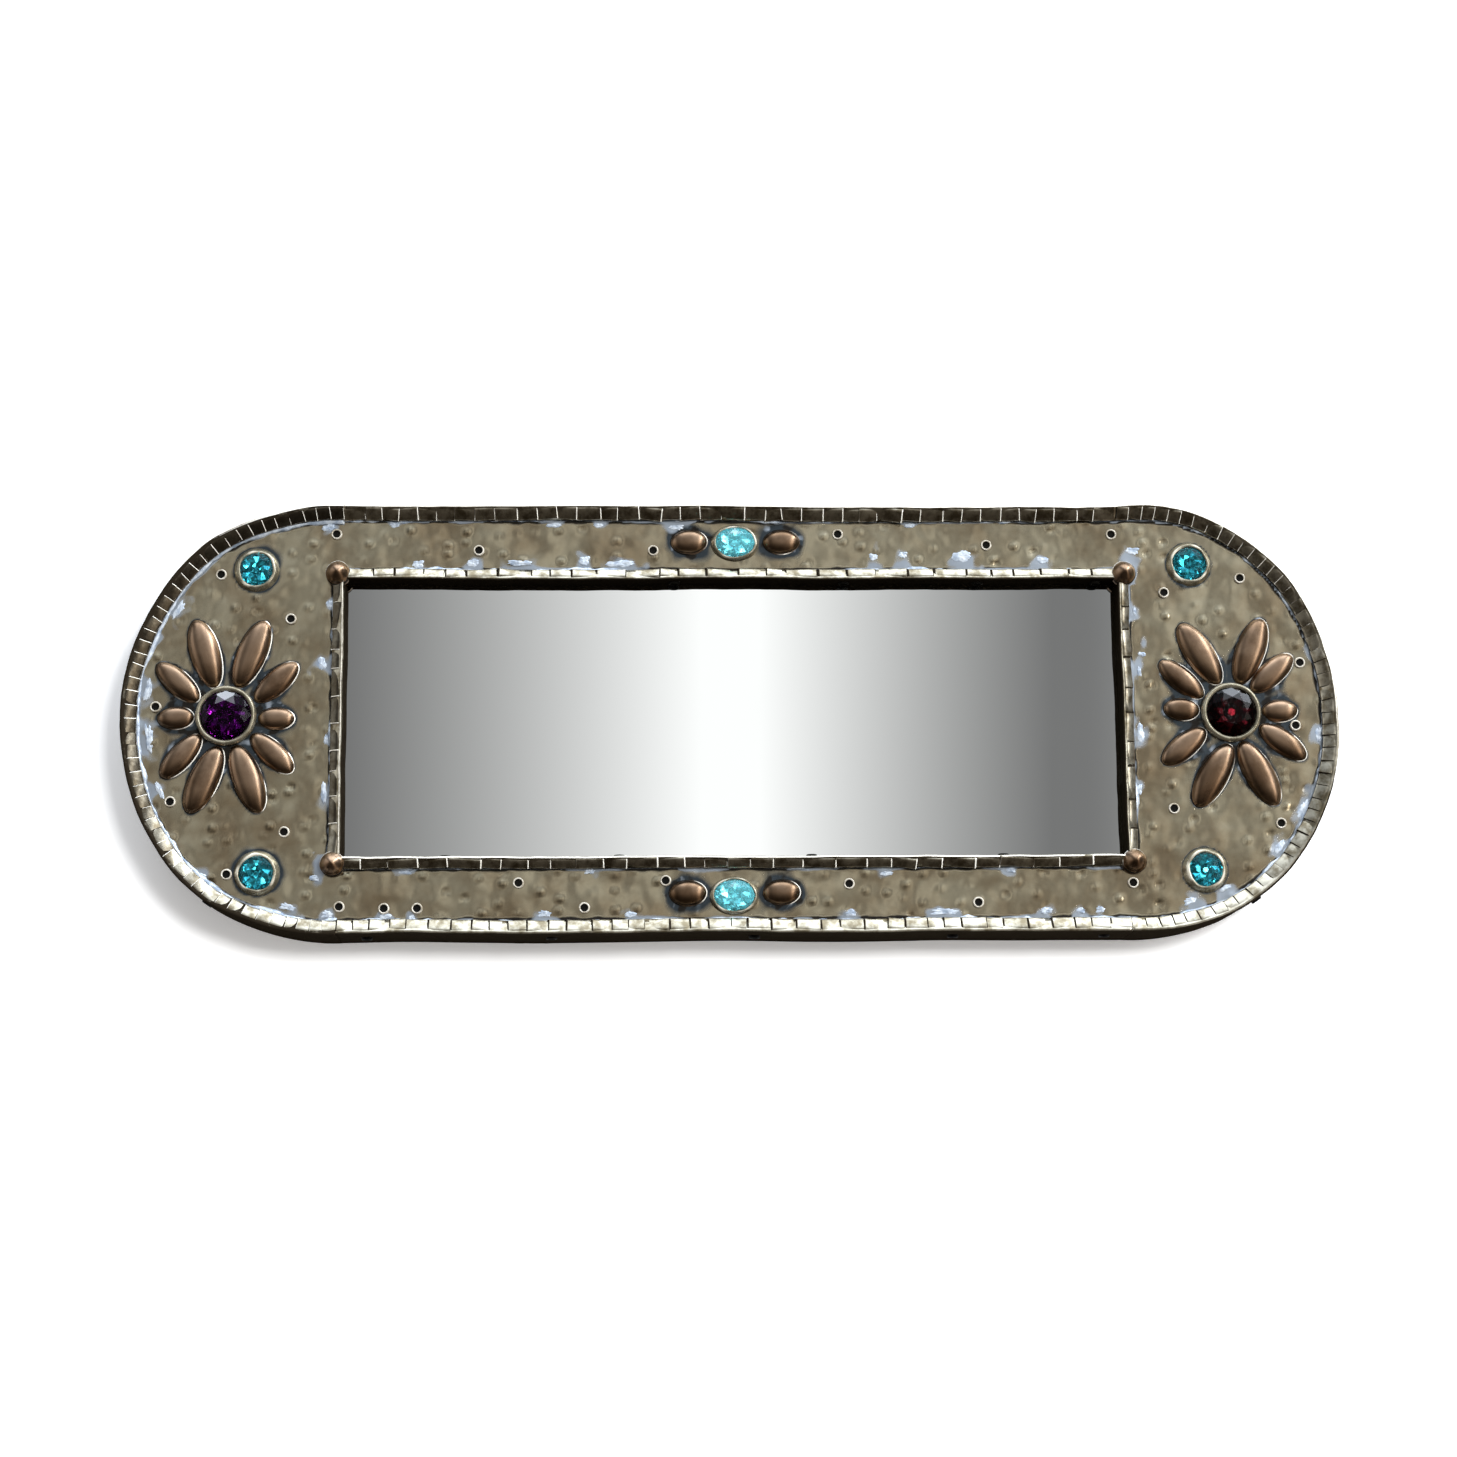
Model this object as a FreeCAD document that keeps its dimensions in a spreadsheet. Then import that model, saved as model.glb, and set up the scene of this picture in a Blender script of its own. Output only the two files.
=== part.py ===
"""Wall mirror in a round-ended frame of hammered brass, nailed and soldered over a wooden core.

The frame is upright: +X to the viewer's right, +Z up, and the front faces -Y. The origin is the middle
of the wall plane, so a depth in this file is the distance in front of the wall, along -Y.
"""
import FreeCAD
import Part
import Sketcher
import math
import os

Vector = FreeCAD.Vector
Rotation = FreeCAD.Rotation
Placement = FreeCAD.Placement

FRONT = Vector(0, -1, 0)
UPWARD = Vector(0, 0, 1)
ACROSS = Vector(1, 0, 0)
ABOUT_DEPTH = Vector(0, 1, 0)

# Driving dimensions in millimetres, and angles in degrees.
DIMENSIONS = {
    "straight_half": 205.0,
    "end_radius": 113.0,
    "sheet_gauge": 0.8,
    "fit_gap": 0.2,
    "crest_depth": 38.0,
    "plate_front": 32.0,
    "plate_gauge": 1.0,
    "core_back": 9.0,
    "rebate_depth": 15.5,
    "board_back": 6.0,
    "mirror_gauge": 3.0,
    "rabbet_lap": 6.0,
    "mirror_play": 0.6,
    "flange_run": 8.0,
    "snip_width": 0.5,
    "snip_root": 1.8,
    "end_snip_count": 35.0,
    "window_half_width": 204.0,
    "window_half_height": 73.5,
    "window_crest": 37.0,
    "window_flange_run": 6.0,
    "solder_leg": 1.4,
    "knob_radius": 6.0,
    "knob_height": 10.5,
    "knob_offset": 3.6,
    "petal_inner_radius": 15.4,
    "long_petal_length": 39.2,
    "long_petal_girth": 16.2,
    "middle_petal_length": 31.0,
    "middle_petal_girth": 13.4,
    "short_petal_length": 20.8,
    "short_petal_girth": 12.6,
    "petal_sink": 2.5,
    "petal_outer_round": 0.68,
    "petal_inner_round": 0.46,
    "dome_length": 19.0,
    "dome_width": 13.0,
    "dome_height": 4.6,
    "flower_gem_radius": 12.6,
    "corner_gem_radius": 9.2,
    "oval_gem_half_length": 10.7,
    "oval_gem_half_height": 8.2,
    "bezel_radius": 15.0,
    "bezel_height": 4.4,
    "collar_radius": 11.5,
    "collar_height": 2.9,
    "oval_collar_half_length": 12.2,
    "oval_collar_half_height": 9.2,
    "nail_shank_radius": 0.85,
    "nail_length": 12.0,
    "nail_ring_radius": 2.8,
    "nail_ring_height": 0.9,
    "nail_cup_radius": 1.4,
    "screw_shank_radius": 1.4,
    "screw_head_radius": 3.2,
    "screw_head_height": 1.4,
    "screw_length": 14.0,
    "screw_tip_length": 3.0,
    "hanger_x": 240.0,
    "hanger_z": 36.0,
    "strap_width": 12.0,
    "strap_length": 30.0,
    "strap_gauge": 1.0,
    "strap_screw_drop": 23.0,
    "eye_outer_radius": 2.4,
    "eye_bore_radius": 1.4,
    "ring_wire_radius": 1.1,
    "ring_half_width": 10.0,
    "ring_corner_radius": 3.0,
    "ring_side": 2.5,
}

# Spacing of the snips along each straight strip, which differs because they are cut by eye.
SNIP_PITCH = {"edge_strip_top": 17.0, "edge_strip_bottom": 21.0, "window_strip_top": 22.0,
              "window_strip_bottom": 24.0, "window_strip_left": 18.0, "window_strip_right": 17.0}

FLOWER_CENTRES = {"left": (-264.4, 1.1), "right": (262.1, 2.0)}

# Each petal by name: its size, the bearing of its middle from the flower's centre and its lean
# away from that bearing, in degrees anticlockwise as the viewer sees them.
PETALS = {
    "left": (("top_left", "long", 109, -1), ("top_right", "long", 70, -1),
             ("upper_left", "middle", 145, -6), ("upper_right", "middle", 35, 8),
             ("side_left", "short", 182, 1), ("side_right", "short", -3, 3),
             ("lower_left", "middle", 223, 6), ("lower_right", "middle", 321, -3),
             ("bottom_left", "long", 253, -6), ("bottom_right", "long", 289, 3)),
    "right": (("top_left", "long", 115, 7), ("top_right", "long", 71, -2),
              ("upper_left", "middle", 145, -5), ("upper_right", "middle", 43, -2),
              ("side_left", "short", 176, 0), ("side_right", "short", 2, 0),
              ("lower_left", "middle", 215, 3), ("lower_right", "middle", 330, -6),
              ("bottom_left", "long", 253, -13), ("bottom_right", "long", 292, 6)),
}

CORNER_GEMS = {"top_left": (-250.5, 79.5), "top_right": (243.0, 82.5),
               "bottom_left": (-246.5, -81.5), "bottom_right": (245.0, -81.5)}
OVAL_GEMS = {"top": (1.3, 94.2), "bottom": (-0.6, -94.0)}
OVAL_DOMES = ((-23.0, 94.8), (26.0, 94.8), (-24.5, -92.6), (24.0, -92.4))

# Places of the nails through the face, scattered by hand, as (x, z).
FACE_NAILS = ((-209, 99), (-269, 77), (-232, 53), (-301, 6), (-292, -44), (-233, -60), (-262, -82),
              (-204, -99), (-181, -100), (-164, -100), (-134, 90), (-112, -87), (-78, -100), (-42, 90),
              (-36, -86), (56, 99), (59, -88), (126, -98), (135, 93), (202, 99), (229, 67), (270, 75),
              (300, 29), (296, -5), (230, -49), (286, -57), (207, -88))

# Places of the nails along the outer wall and the window walls.
EDGE_NAIL_DEPTH = 25.0
EDGE_NAILS_TOP = (-190, -95, 10, 113, 192)
EDGE_NAILS_BOTTOM = (-190, -95, 10, 113, 192)
EDGE_NAIL_BEARINGS = (-55, 0, 55)
WINDOW_NAIL_DEPTH = 29.5
WINDOW_NAILS_TOP = (-31, 59, 130, 193)
WINDOW_NAILS_BOTTOM = (-150, -60, 40, 140)

# Places of the screws that hold the back board to the core, as (x, z).
BOARD_SCREWS = ((-120, 105), (0, 105), (120, 105), (-120, -105), (0, -105), (120, -105),
                (-270, 60), (-270, -60), (270, 60), (270, -60))

# Sides of the nails and screws, which are too small to need a round section.
FASTENER_SIDES = 8

# Faceted gems: corners of the table and the shares of their radius and height.
GEM_SIDES = 8
GEM_TABLE_SHARE = 0.58
GEM_CULET_SHARE = 0.40
GEM_KITE_SHARE = 0.46
GEM_PAVILION_SHARE = 0.20
GEM_GIRDLE_SHARE = 0.045
GEM_CROWN_SHARE = 0.24

doc = FreeCAD.newDocument("brass_mirror")
parts = []


def make_sheet():
    """Write the driving dimensions to the spreadsheet, one aliased cell each."""
    sheet = doc.addObject("Spreadsheet::Sheet", "dims")
    for row, (alias, value) in enumerate(DIMENSIONS.items(), start=1):
        sheet.set(f"A{row}", alias)
        sheet.set(f"B{row}", str(value))
        sheet.setAlias(f"B{row}", alias)
    doc.recompute()
    return sheet


sheet = make_sheet()


def size(alias):
    """Read one driving dimension from the spreadsheet."""
    return float(sheet.get(alias))


def expression(text):
    """Put the spreadsheet's name before every alias in a formula."""
    words = text.replace("(", "( ").replace(")", " )").split()
    return " ".join(f"dims.{word}" if word in DIMENSIONS else word for word in words)


def bind(feature, **formulas):
    """Bind properties of a feature to formulas over the driving dimensions."""
    for name, formula in formulas.items():
        feature.setExpression(name, expression(formula))


def add_part(label, feature):
    """Name a finished sub-part and list it for export."""
    feature.Label = label
    parts.append(feature)
    return feature


def at(x, depth, z):
    """Point at x and z, the given depth in front of the wall."""
    return Vector(x, -depth, z)


def new_body(name):
    """Start a body and return it with its origin planes and axes by role."""
    body = doc.addObject("PartDesign::Body", name)
    return body, {feature.Role: feature for feature in body.Origin.OriginFeatures}


def new_sketch(body, plane, name, depth="0"):
    """Start a sketch on an origin plane of its own body, raised by a formula."""
    sketch = body.newObject("Sketcher::SketchObject", name)
    sketch.AttachmentSupport = [(plane, "")]
    sketch.MapMode = "FlatFace"
    sketch.setExpression("AttachmentOffset.Base.z", expression(depth))
    return sketch


def pin_point(sketch, edge, across, along):
    """Hold the first end of a sketch edge at formulas for its two coordinates."""
    for letter, axis, formula in (("X", -2, across), ("Y", -1, along)):
        if formula == "0":
            sketch.addConstraint(Sketcher.Constraint("PointOnObject", edge, 1, axis))
            continue
        index = sketch.addConstraint(Sketcher.Constraint(f"Distance{letter}", -1, 1, edge, 1, 1.0))
        sketch.setExpression(f"Constraints[{index}]", expression(formula))


def draw_polygon(sketch, corners):
    """Draw a closed polygon whose corners are pairs of formulas."""
    first = sketch.GeometryCount
    count = len(corners)
    start = [Vector(math.cos(turn), math.sin(turn), 0)
             for turn in (2 * math.pi * step / count for step in range(count))]
    for step in range(count):
        sketch.addGeometry(Part.LineSegment(start[step], start[(step + 1) % count]), False)
    for step in range(count):
        following = first + (step + 1) % count
        sketch.addConstraint(Sketcher.Constraint("Coincident", first + step, 2, following, 1))
    for step, (across, along) in enumerate(corners):
        pin_point(sketch, first + step, across, along)


def draw_circle(sketch, centre, radius):
    """Draw a circle from formulas for its centre and radius."""
    edge = sketch.addGeometry(Part.Circle(Vector(1, 1, 0), UPWARD, 1.0), False)
    for letter, axis, formula in (("X", -2, centre[0]), ("Y", -1, centre[1])):
        if formula == "0":
            sketch.addConstraint(Sketcher.Constraint("PointOnObject", edge, 3, axis))
            continue
        index = sketch.addConstraint(Sketcher.Constraint(f"Distance{letter}", -1, 1, edge, 3, 1.0))
        sketch.setExpression(f"Constraints[{index}]", expression(formula))
    index = sketch.addConstraint(Sketcher.Constraint("Radius", edge, 1.0))
    sketch.setExpression(f"Constraints[{index}]", expression(radius))


def draw_stadium(sketch, half_length, radius):
    """Draw a round-ended outline about the origin from formulas for its straight half and radius."""
    half, bend = size("straight_half"), size("end_radius")
    quarter = math.pi / 2
    right = Part.ArcOfCircle(Part.Circle(Vector(half, 0, 0), UPWARD, bend), -quarter, quarter)
    left = Part.ArcOfCircle(Part.Circle(Vector(-half, 0, 0), UPWARD, bend), quarter, 3 * quarter)
    top = Part.LineSegment(Vector(half, bend, 0), Vector(-half, bend, 0))
    bottom = Part.LineSegment(Vector(-half, -bend, 0), Vector(half, -bend, 0))
    edges = [sketch.addGeometry(edge, False) for edge in (right, top, left, bottom)]
    for step, edge in enumerate(edges):
        sketch.addConstraint(Sketcher.Constraint("Tangent", edge, 2, edges[(step + 1) % 4], 1))
    for edge in (edges[0], edges[2]):
        sketch.addConstraint(Sketcher.Constraint("PointOnObject", edge, 3, -1))
    sketch.addConstraint(Sketcher.Constraint("Horizontal", edges[1]))
    distances = (("Radius", (edges[0], bend), radius),
                 ("DistanceX", (-1, 1, edges[0], 3, half), half_length),
                 ("DistanceX", (edges[2], 3, -1, 1, half), half_length))
    for kind, arguments, formula in distances:
        index = sketch.addConstraint(Sketcher.Constraint(kind, *arguments))
        sketch.setExpression(f"Constraints[{index}]", expression(formula))


def pad(body, sketch, length, symmetric=False):
    """Raise a sketch by a formula, forward or to both sides."""
    feature = body.newObject("PartDesign::Pad", "Pad")
    feature.Profile = sketch
    feature.SideType = "Symmetric" if symmetric else "One side"
    bind(feature, Length=length)
    return feature


def pocket_forward(body, sketch, length):
    """Cut a sketch away towards the front, and check that it removes metal."""
    before = body.Shape.Volume
    feature = body.newObject("PartDesign::Pocket", "Pocket")
    feature.Profile = sketch
    feature.Reversed = True
    bind(feature, Length=length)
    doc.recompute()
    if body.Shape.Volume >= before:
        raise RuntimeError(f"a pocket in {body.Name} cuts nothing")
    return feature


def straight_strip(name, profile, length):
    """Bar of constant section along X, from a profile of (depth, height) formulas."""
    body, origin = new_body(name)
    sketch = new_sketch(body, origin["YZ_Plane"], f"{name}_profile")
    draw_polygon(sketch, [(f"-1 * ( {depth} )", height) for depth, height in profile])
    pad(body, sketch, length, symmetric=True)
    doc.recompute()
    return body, origin


def curved_strip(name, profile):
    """Half ring of constant section about the depth axis, open towards -X."""
    body, origin = new_body(name)
    sketch = new_sketch(body, origin["XY_Plane"], f"{name}_profile")
    draw_polygon(sketch, [(reach, f"-1 * ( {depth} )") for depth, reach in profile])
    feature = body.newObject("PartDesign::Revolution", "Revolution")
    feature.Profile = sketch
    feature.ReferenceAxis = (sketch, ["V_Axis"])
    feature.Angle = 180.0
    feature.Midplane = True
    doc.recompute()
    return body, origin


def snip_straight(body, origin, foot, root, half_run, pitch):
    """Cut a row of snips into the flange of a straight strip, evenly along its run."""
    count = int(2 * half_run / pitch)
    first = (count - 1) * pitch / 2
    sketch = new_sketch(body, origin["XZ_Plane"], f"{body.Name}_snip", "plate_front - 1")
    left = f"-1 * {first} - snip_width / 2"
    right = f"-1 * {first} + snip_width / 2"
    draw_polygon(sketch, [(left, foot), (right, foot), (right, root), (left, root)])
    snip = pocket_forward(body, sketch, "crest_depth")
    row = body.newObject("PartDesign::LinearPattern", "Snips")
    row.Originals = [snip]
    row.Direction = (origin["X_Axis"], [""])
    row.Length = 2 * first
    row.Occurrences = count
    body.Tip = row
    doc.recompute()


def snip_curve(body, origin, foot, root):
    """Cut snips round the flange of a half ring, at equal turns."""
    count = int(size("end_snip_count"))
    turn = 180.0 / count
    sketch = new_sketch(body, origin["XZ_Plane"], f"{body.Name}_snip", "plate_front - 1")
    low, high = "-1 * snip_width / 2", "snip_width / 2"
    draw_polygon(sketch, [(foot, low), (root, low), (root, high), (foot, high)])
    snip = pocket_forward(body, sketch, "crest_depth")
    half_count = (count - 1) // 2
    rows = []
    for reverse in (False, True):
        row = body.newObject("PartDesign::PolarPattern", "Snips")
        row.Originals = [snip]
        row.Axis = (origin["Y_Axis"], [""])
        row.Angle = half_count * turn
        row.Occurrences = half_count + 1
        row.Reversed = reverse
        rows.append(row)
        body.Tip = row
    doc.recompute()


def turned(angle, base=Vector(0, 0, 0)):
    """Placement turned anticlockwise as the viewer sees it, then moved to a base point."""
    return Placement(base, Rotation(ABOUT_DEPTH, -angle))


def edge_profile(outer):
    """Wall and sloping flange of the outer edge strip, from the outer face inwards."""
    foot = f"{outer} - flange_run"
    wall = f"{outer} - sheet_gauge"
    slope = "( ( crest_depth - plate_front - sheet_gauge ) / flange_run )"
    under_crest = f"plate_front + {slope} * ( flange_run - sheet_gauge )"
    return [("0", outer), ("crest_depth", outer), ("plate_front + sheet_gauge", foot),
            ("plate_front", foot), (under_crest, wall), ("0", wall)]


def make_edge_strips():
    """Outer edge in four strips: two straights and two half rings, with snipped flanges."""
    root = "end_radius - snip_root"
    foot = "end_radius - flange_run - 1"
    for name, angle in (("edge_strip_top", 0), ("edge_strip_bottom", 180)):
        body, origin = straight_strip(name, edge_profile("end_radius"), "2 * straight_half")
        snip_straight(body, origin, foot, root, size("straight_half"), SNIP_PITCH[name])
        body.Placement = turned(angle)
        add_part(name, body)
    for name, angle, side in (("edge_strip_right", 0, 1), ("edge_strip_left", 180, -1)):
        body, origin = curved_strip(name, edge_profile("end_radius"))
        snip_curve(body, origin, foot, root)
        body.Placement = turned(angle, Vector(side * size("straight_half"), 0, 0))
        add_part(name, body)


def window_profile(inner):
    """Wall lining and sloping flange of a window strip, from the inner face outwards."""
    back = "core_back + rebate_depth + fit_gap"
    foot = f"{inner} + window_flange_run"
    wall = f"{inner} + sheet_gauge"
    slope = "( ( window_crest - plate_front - sheet_gauge ) / window_flange_run )"
    under_crest = f"plate_front + {slope} * ( window_flange_run - sheet_gauge )"
    return [(back, inner), ("window_crest", inner), ("plate_front + sheet_gauge", foot),
            ("plate_front", foot), (under_crest, wall), (back, wall)]


def make_window_strips():
    """Lining of the window in four strips, coped at the corners for the knobs."""
    upright = ("window_half_height", "window_half_width", "window_half_width + sheet_gauge")
    sideways = ("window_half_width", "window_half_height", "window_half_height")
    layout = (("window_strip_top", 0, upright), ("window_strip_bottom", 180, upright),
              ("window_strip_right", -90, sideways), ("window_strip_left", 90, sideways))
    for name, angle, (inner, half_run, half_length) in layout:
        body, origin = straight_strip(name, window_profile(inner), f"2 * ( {half_length} )")
        foot = f"{inner} + window_flange_run + 1"
        root = f"{inner} + snip_root"
        snip_straight(body, origin, foot, root, size(half_run) - size("knob_radius"), SNIP_PITCH[name])
        sketch = new_sketch(body, origin["XZ_Plane"], f"{name}_seats", "plate_front")
        for sign in ("", "-1 * "):
            centre = (f"{sign}( {half_run} + knob_offset )", f"{inner} + knob_offset")
            draw_circle(sketch, centre, "knob_radius + fit_gap")
        body.Tip = pocket_forward(body, sketch, "crest_depth")
        body.Placement = turned(angle)
        add_part(name, body)


def make_corner_knobs():
    """Rounded copper cones that cover the four corners of the window."""
    across = size("window_half_width") + size("knob_offset")
    height = size("window_half_height") + size("knob_offset")
    corners = {"top_left": (-across, height), "top_right": (across, height),
               "bottom_left": (-across, -height), "bottom_right": (across, -height)}
    outline = [("0", "0"), ("knob_radius", "0"), ("knob_radius", "0.14 * knob_height"),
               ("0.86 * knob_radius", "0.42 * knob_height"), ("0.60 * knob_radius", "0.70 * knob_height"),
               ("0.30 * knob_radius", "0.90 * knob_height"), ("0.10 * knob_radius", "0.99 * knob_height"),
               ("0", "knob_height")]
    for corner, (x, z) in corners.items():
        name = f"corner_knob_{corner}"
        body = turned_piece(name, outline)
        body.Placement = Placement(at(x, size("plate_front"), z), Rotation())
        add_part(name, body)


def turned_piece(name, outline):
    """Turned solid about the depth axis from (radius, height) formulas, standing towards the front."""
    body, origin = new_body(name)
    sketch = new_sketch(body, origin["XY_Plane"], f"{name}_outline")
    draw_polygon(sketch, [(radius, height if height == "0" else f"-1 * ( {height} )")
                          for radius, height in outline])
    feature = body.newObject("PartDesign::Revolution", "Revolution")
    feature.Profile = sketch
    feature.ReferenceAxis = (sketch, ["V_Axis"])
    feature.Angle = 360.0
    doc.recompute()
    return body


def peg(start, direction, radius, length):
    """Plain round bar from a start point, used for the holes that nails and screws fill."""
    return Part.makeCylinder(radius, length, start, direction)


def nail_places():
    """Every nail by node, as (surface point, outward direction)."""
    face = [(at(x, size("plate_front"), z), FRONT) for x, z in FACE_NAILS]
    strip = []
    reach = size("end_radius")
    for row, height in ((EDGE_NAILS_TOP, reach), (EDGE_NAILS_BOTTOM, -reach)):
        strip += [(at(x, EDGE_NAIL_DEPTH, height), UPWARD * math.copysign(1, height)) for x in row]
    for side in (-1, 1):
        for bearing in EDGE_NAIL_BEARINGS:
            outward = Vector(side * math.cos(math.radians(bearing)), 0, math.sin(math.radians(bearing)))
            centre = at(side * size("straight_half"), EDGE_NAIL_DEPTH, 0)
            strip.append((centre + outward * reach, outward))
    inner = size("window_half_height")
    for row, height in ((WINDOW_NAILS_TOP, inner), (WINDOW_NAILS_BOTTOM, -inner)):
        strip += [(at(x, WINDOW_NAIL_DEPTH, height), UPWARD * -math.copysign(1, height)) for x in row]
    return {"face_nails": face, "strip_nails": strip}


def screw_places():
    """Every screw as (surface point, outward direction): the back board's and the straps'."""
    board = [at(x, size("board_back"), z) for x, z in BOARD_SCREWS]
    height = size("hanger_z") - size("strap_screw_drop")
    depth = size("board_back") - size("strap_gauge")
    straps = [at(side * size("hanger_x"), depth, height) for side in (-1, 1)]
    return [(point, FRONT * -1) for point in board + straps]


def few_sided(low, high):
    """Few-sided bar about the depth axis between two (radius, height) ends, for small fasteners."""
    turns = [2 * math.pi * step / FASTENER_SIDES for step in range(FASTENER_SIDES)]
    rings = []
    for radius, height in (low, high):
        corners = [Vector(radius * math.cos(turn), -height, radius * math.sin(turn)) for turn in turns]
        rings.append(Part.makePolygon(corners + corners[:1]))
    return Part.makeLoft(rings, True, True)


def scattered(label, pattern, places):
    """One node holding a copy of a fastener at each place, its head facing outwards."""
    copies = []
    for point, outward in places:
        copy = pattern.Shape.copy()
        copy.Placement = Placement(point, Rotation(FRONT, outward))
        copies.append(copy)
    group = doc.addObject("Part::Feature", label)
    group.Shape = Part.makeCompound(copies)
    return add_part(label, group)


def make_fasteners():
    """Ring-headed nails of the face and strips, and round-headed screws of the back."""
    height, rim, cup = size("nail_ring_height"), size("nail_ring_radius"), size("nail_cup_radius")
    head = few_sided((rim, 0), (0.75 * rim, height))
    hollow = few_sided((0.85 * cup, 0.2 * height), (cup, height))
    shank = few_sided((size("nail_shank_radius"), -size("nail_length")), (size("nail_shank_radius"), 0))
    nail = doc.addObject("Part::Feature", "nail_pattern")
    nail.Shape = head.cut(hollow).fuse(shank)
    height, rim, thick = size("screw_head_height"), size("screw_head_radius"), size("screw_shank_radius")
    tip = -size("screw_length")
    shoulder = tip + size("screw_tip_length")
    bands = (((thick / 4, tip), (thick, shoulder)), ((thick, shoulder), (thick, 0)),
             ((rim, 0), (0.8 * rim, 0.7 * height)), ((0.8 * rim, 0.7 * height), (0.4 * rim, height)))
    stack = [few_sided(low, high) for low, high in bands]
    screw = doc.addObject("Part::Feature", "screw_pattern")
    screw.Shape = stack[0].fuse(stack[1:])
    for label, places in nail_places().items():
        scattered(label, nail, places)
    scattered("back_screws", screw, screw_places())


def fastener_holes():
    """One compound of every hole that a nail or a screw fills."""
    bars = []
    for places in nail_places().values():
        bars += [peg(point, outward * -1, size("nail_shank_radius"), size("nail_length"))
                 for point, outward in places]
    bars += [peg(point, outward * -1, size("screw_shank_radius"), size("screw_length"))
             for point, outward in screw_places()]
    holes = doc.addObject("Part::Feature", "fastener_holes")
    holes.Shape = Part.makeCompound(bars)
    return holes


def drill_parts(holes, labels):
    """Drill the fastener holes through the named sub-parts."""
    for label in labels:
        index = next(step for step, part in enumerate(parts) if part.Label == label)
        blank = parts[index]
        blank.Label = f"{label}_blank"
        drilled = doc.addObject("Part::Cut", f"{label}_drilled")
        drilled.Base = blank
        drilled.Tool = holes
        drilled.Label = label
        parts[index] = drilled
    doc.recompute()


def make_plates():
    """Face plate with its window, and the plain back board."""
    body, origin = new_body("face_plate_blank")
    sketch = new_sketch(body, origin["XZ_Plane"], "face_outline", "plate_front - plate_gauge")
    draw_stadium(sketch, "straight_half", "end_radius - sheet_gauge - fit_gap")
    across = "( window_half_width + sheet_gauge + fit_gap )"
    height = "( window_half_height + sheet_gauge + fit_gap )"
    draw_polygon(sketch, [(f"-1 * {across}", f"-1 * {height}"), (across, f"-1 * {height}"),
                          (across, height), (f"-1 * {across}", height)])
    pad(body, sketch, "plate_gauge")
    add_part("face_plate", body)
    board, origin = new_body("back_board_blank")
    sketch = new_sketch(board, origin["XZ_Plane"], "board_outline", "board_back")
    draw_stadium(sketch, "straight_half", "end_radius - sheet_gauge - 2 * fit_gap")
    pad(board, sketch, "core_back - board_back")
    add_part("back_board", board)
    doc.recompute()


def make_core():
    """Wooden core: two rails and two half-round end blocks, rebated behind for the mirror."""
    window_height = "( window_half_height + sheet_gauge + fit_gap )"
    thickness = "plate_front - plate_gauge - core_back"
    for name, angle in (("core_rail_top", 0), ("core_rail_bottom", 180)):
        body, origin = new_body(name)
        lap = f"{window_height} + rabbet_lap"
        ledge = "core_back + rebate_depth"
        sketch = new_sketch(body, origin["YZ_Plane"], f"{name}_section")
        section = [("core_back", lap), (ledge, lap), (ledge, window_height),
                   ("plate_front - plate_gauge", window_height),
                   ("plate_front - plate_gauge", "end_radius - sheet_gauge - fit_gap"),
                   ("core_back", "end_radius - sheet_gauge - fit_gap")]
        draw_polygon(sketch, [(f"-1 * ( {depth} )", height) for depth, height in section])
        pad(body, sketch, "2 * straight_half", symmetric=True)
        body.Placement = turned(angle)
        add_part(name, body)
    for name, angle, side in (("core_end_right", 0, 1), ("core_end_left", 180, -1)):
        body, origin = new_body(name)
        sketch = new_sketch(body, origin["XZ_Plane"], f"{name}_outline", "core_back")
        draw_half_disc(sketch, "end_radius - sheet_gauge - fit_gap")
        pad(body, sketch, thickness)
        doc.recompute()
        rebate = new_sketch(body, origin["XZ_Plane"], f"{name}_rebate", "core_back")
        lap = f"{window_height} + rabbet_lap"
        draw_polygon(rebate, [("-1", f"-1 * ( {lap} )"), ("rabbet_lap", f"-1 * ( {lap} )"),
                              ("rabbet_lap", lap), ("-1", lap)])
        pocket_forward(body, rebate, "rebate_depth")
        body.Placement = turned(angle, Vector(side * size("straight_half"), 0, 0))
        add_part(name, body)


def draw_half_disc(sketch, radius):
    """Draw a half disc about the origin, flat towards -X, from a formula for its radius."""
    bend = size("end_radius")
    quarter = math.pi / 2
    arc = sketch.addGeometry(Part.ArcOfCircle(Part.Circle(Vector(0, 0, 0), UPWARD, bend), -quarter, quarter))
    flat = sketch.addGeometry(Part.LineSegment(Vector(0, bend, 0), Vector(0, -bend, 0)))
    sketch.addConstraint(Sketcher.Constraint("Coincident", arc, 3, -1, 1))
    sketch.addConstraint(Sketcher.Constraint("Coincident", arc, 2, flat, 1))
    sketch.addConstraint(Sketcher.Constraint("Coincident", flat, 2, arc, 1))
    sketch.addConstraint(Sketcher.Constraint("PointOnObject", flat, 1, -2))
    index = sketch.addConstraint(Sketcher.Constraint("Radius", arc, bend))
    sketch.setExpression(f"Constraints[{index}]", expression(radius))


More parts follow.
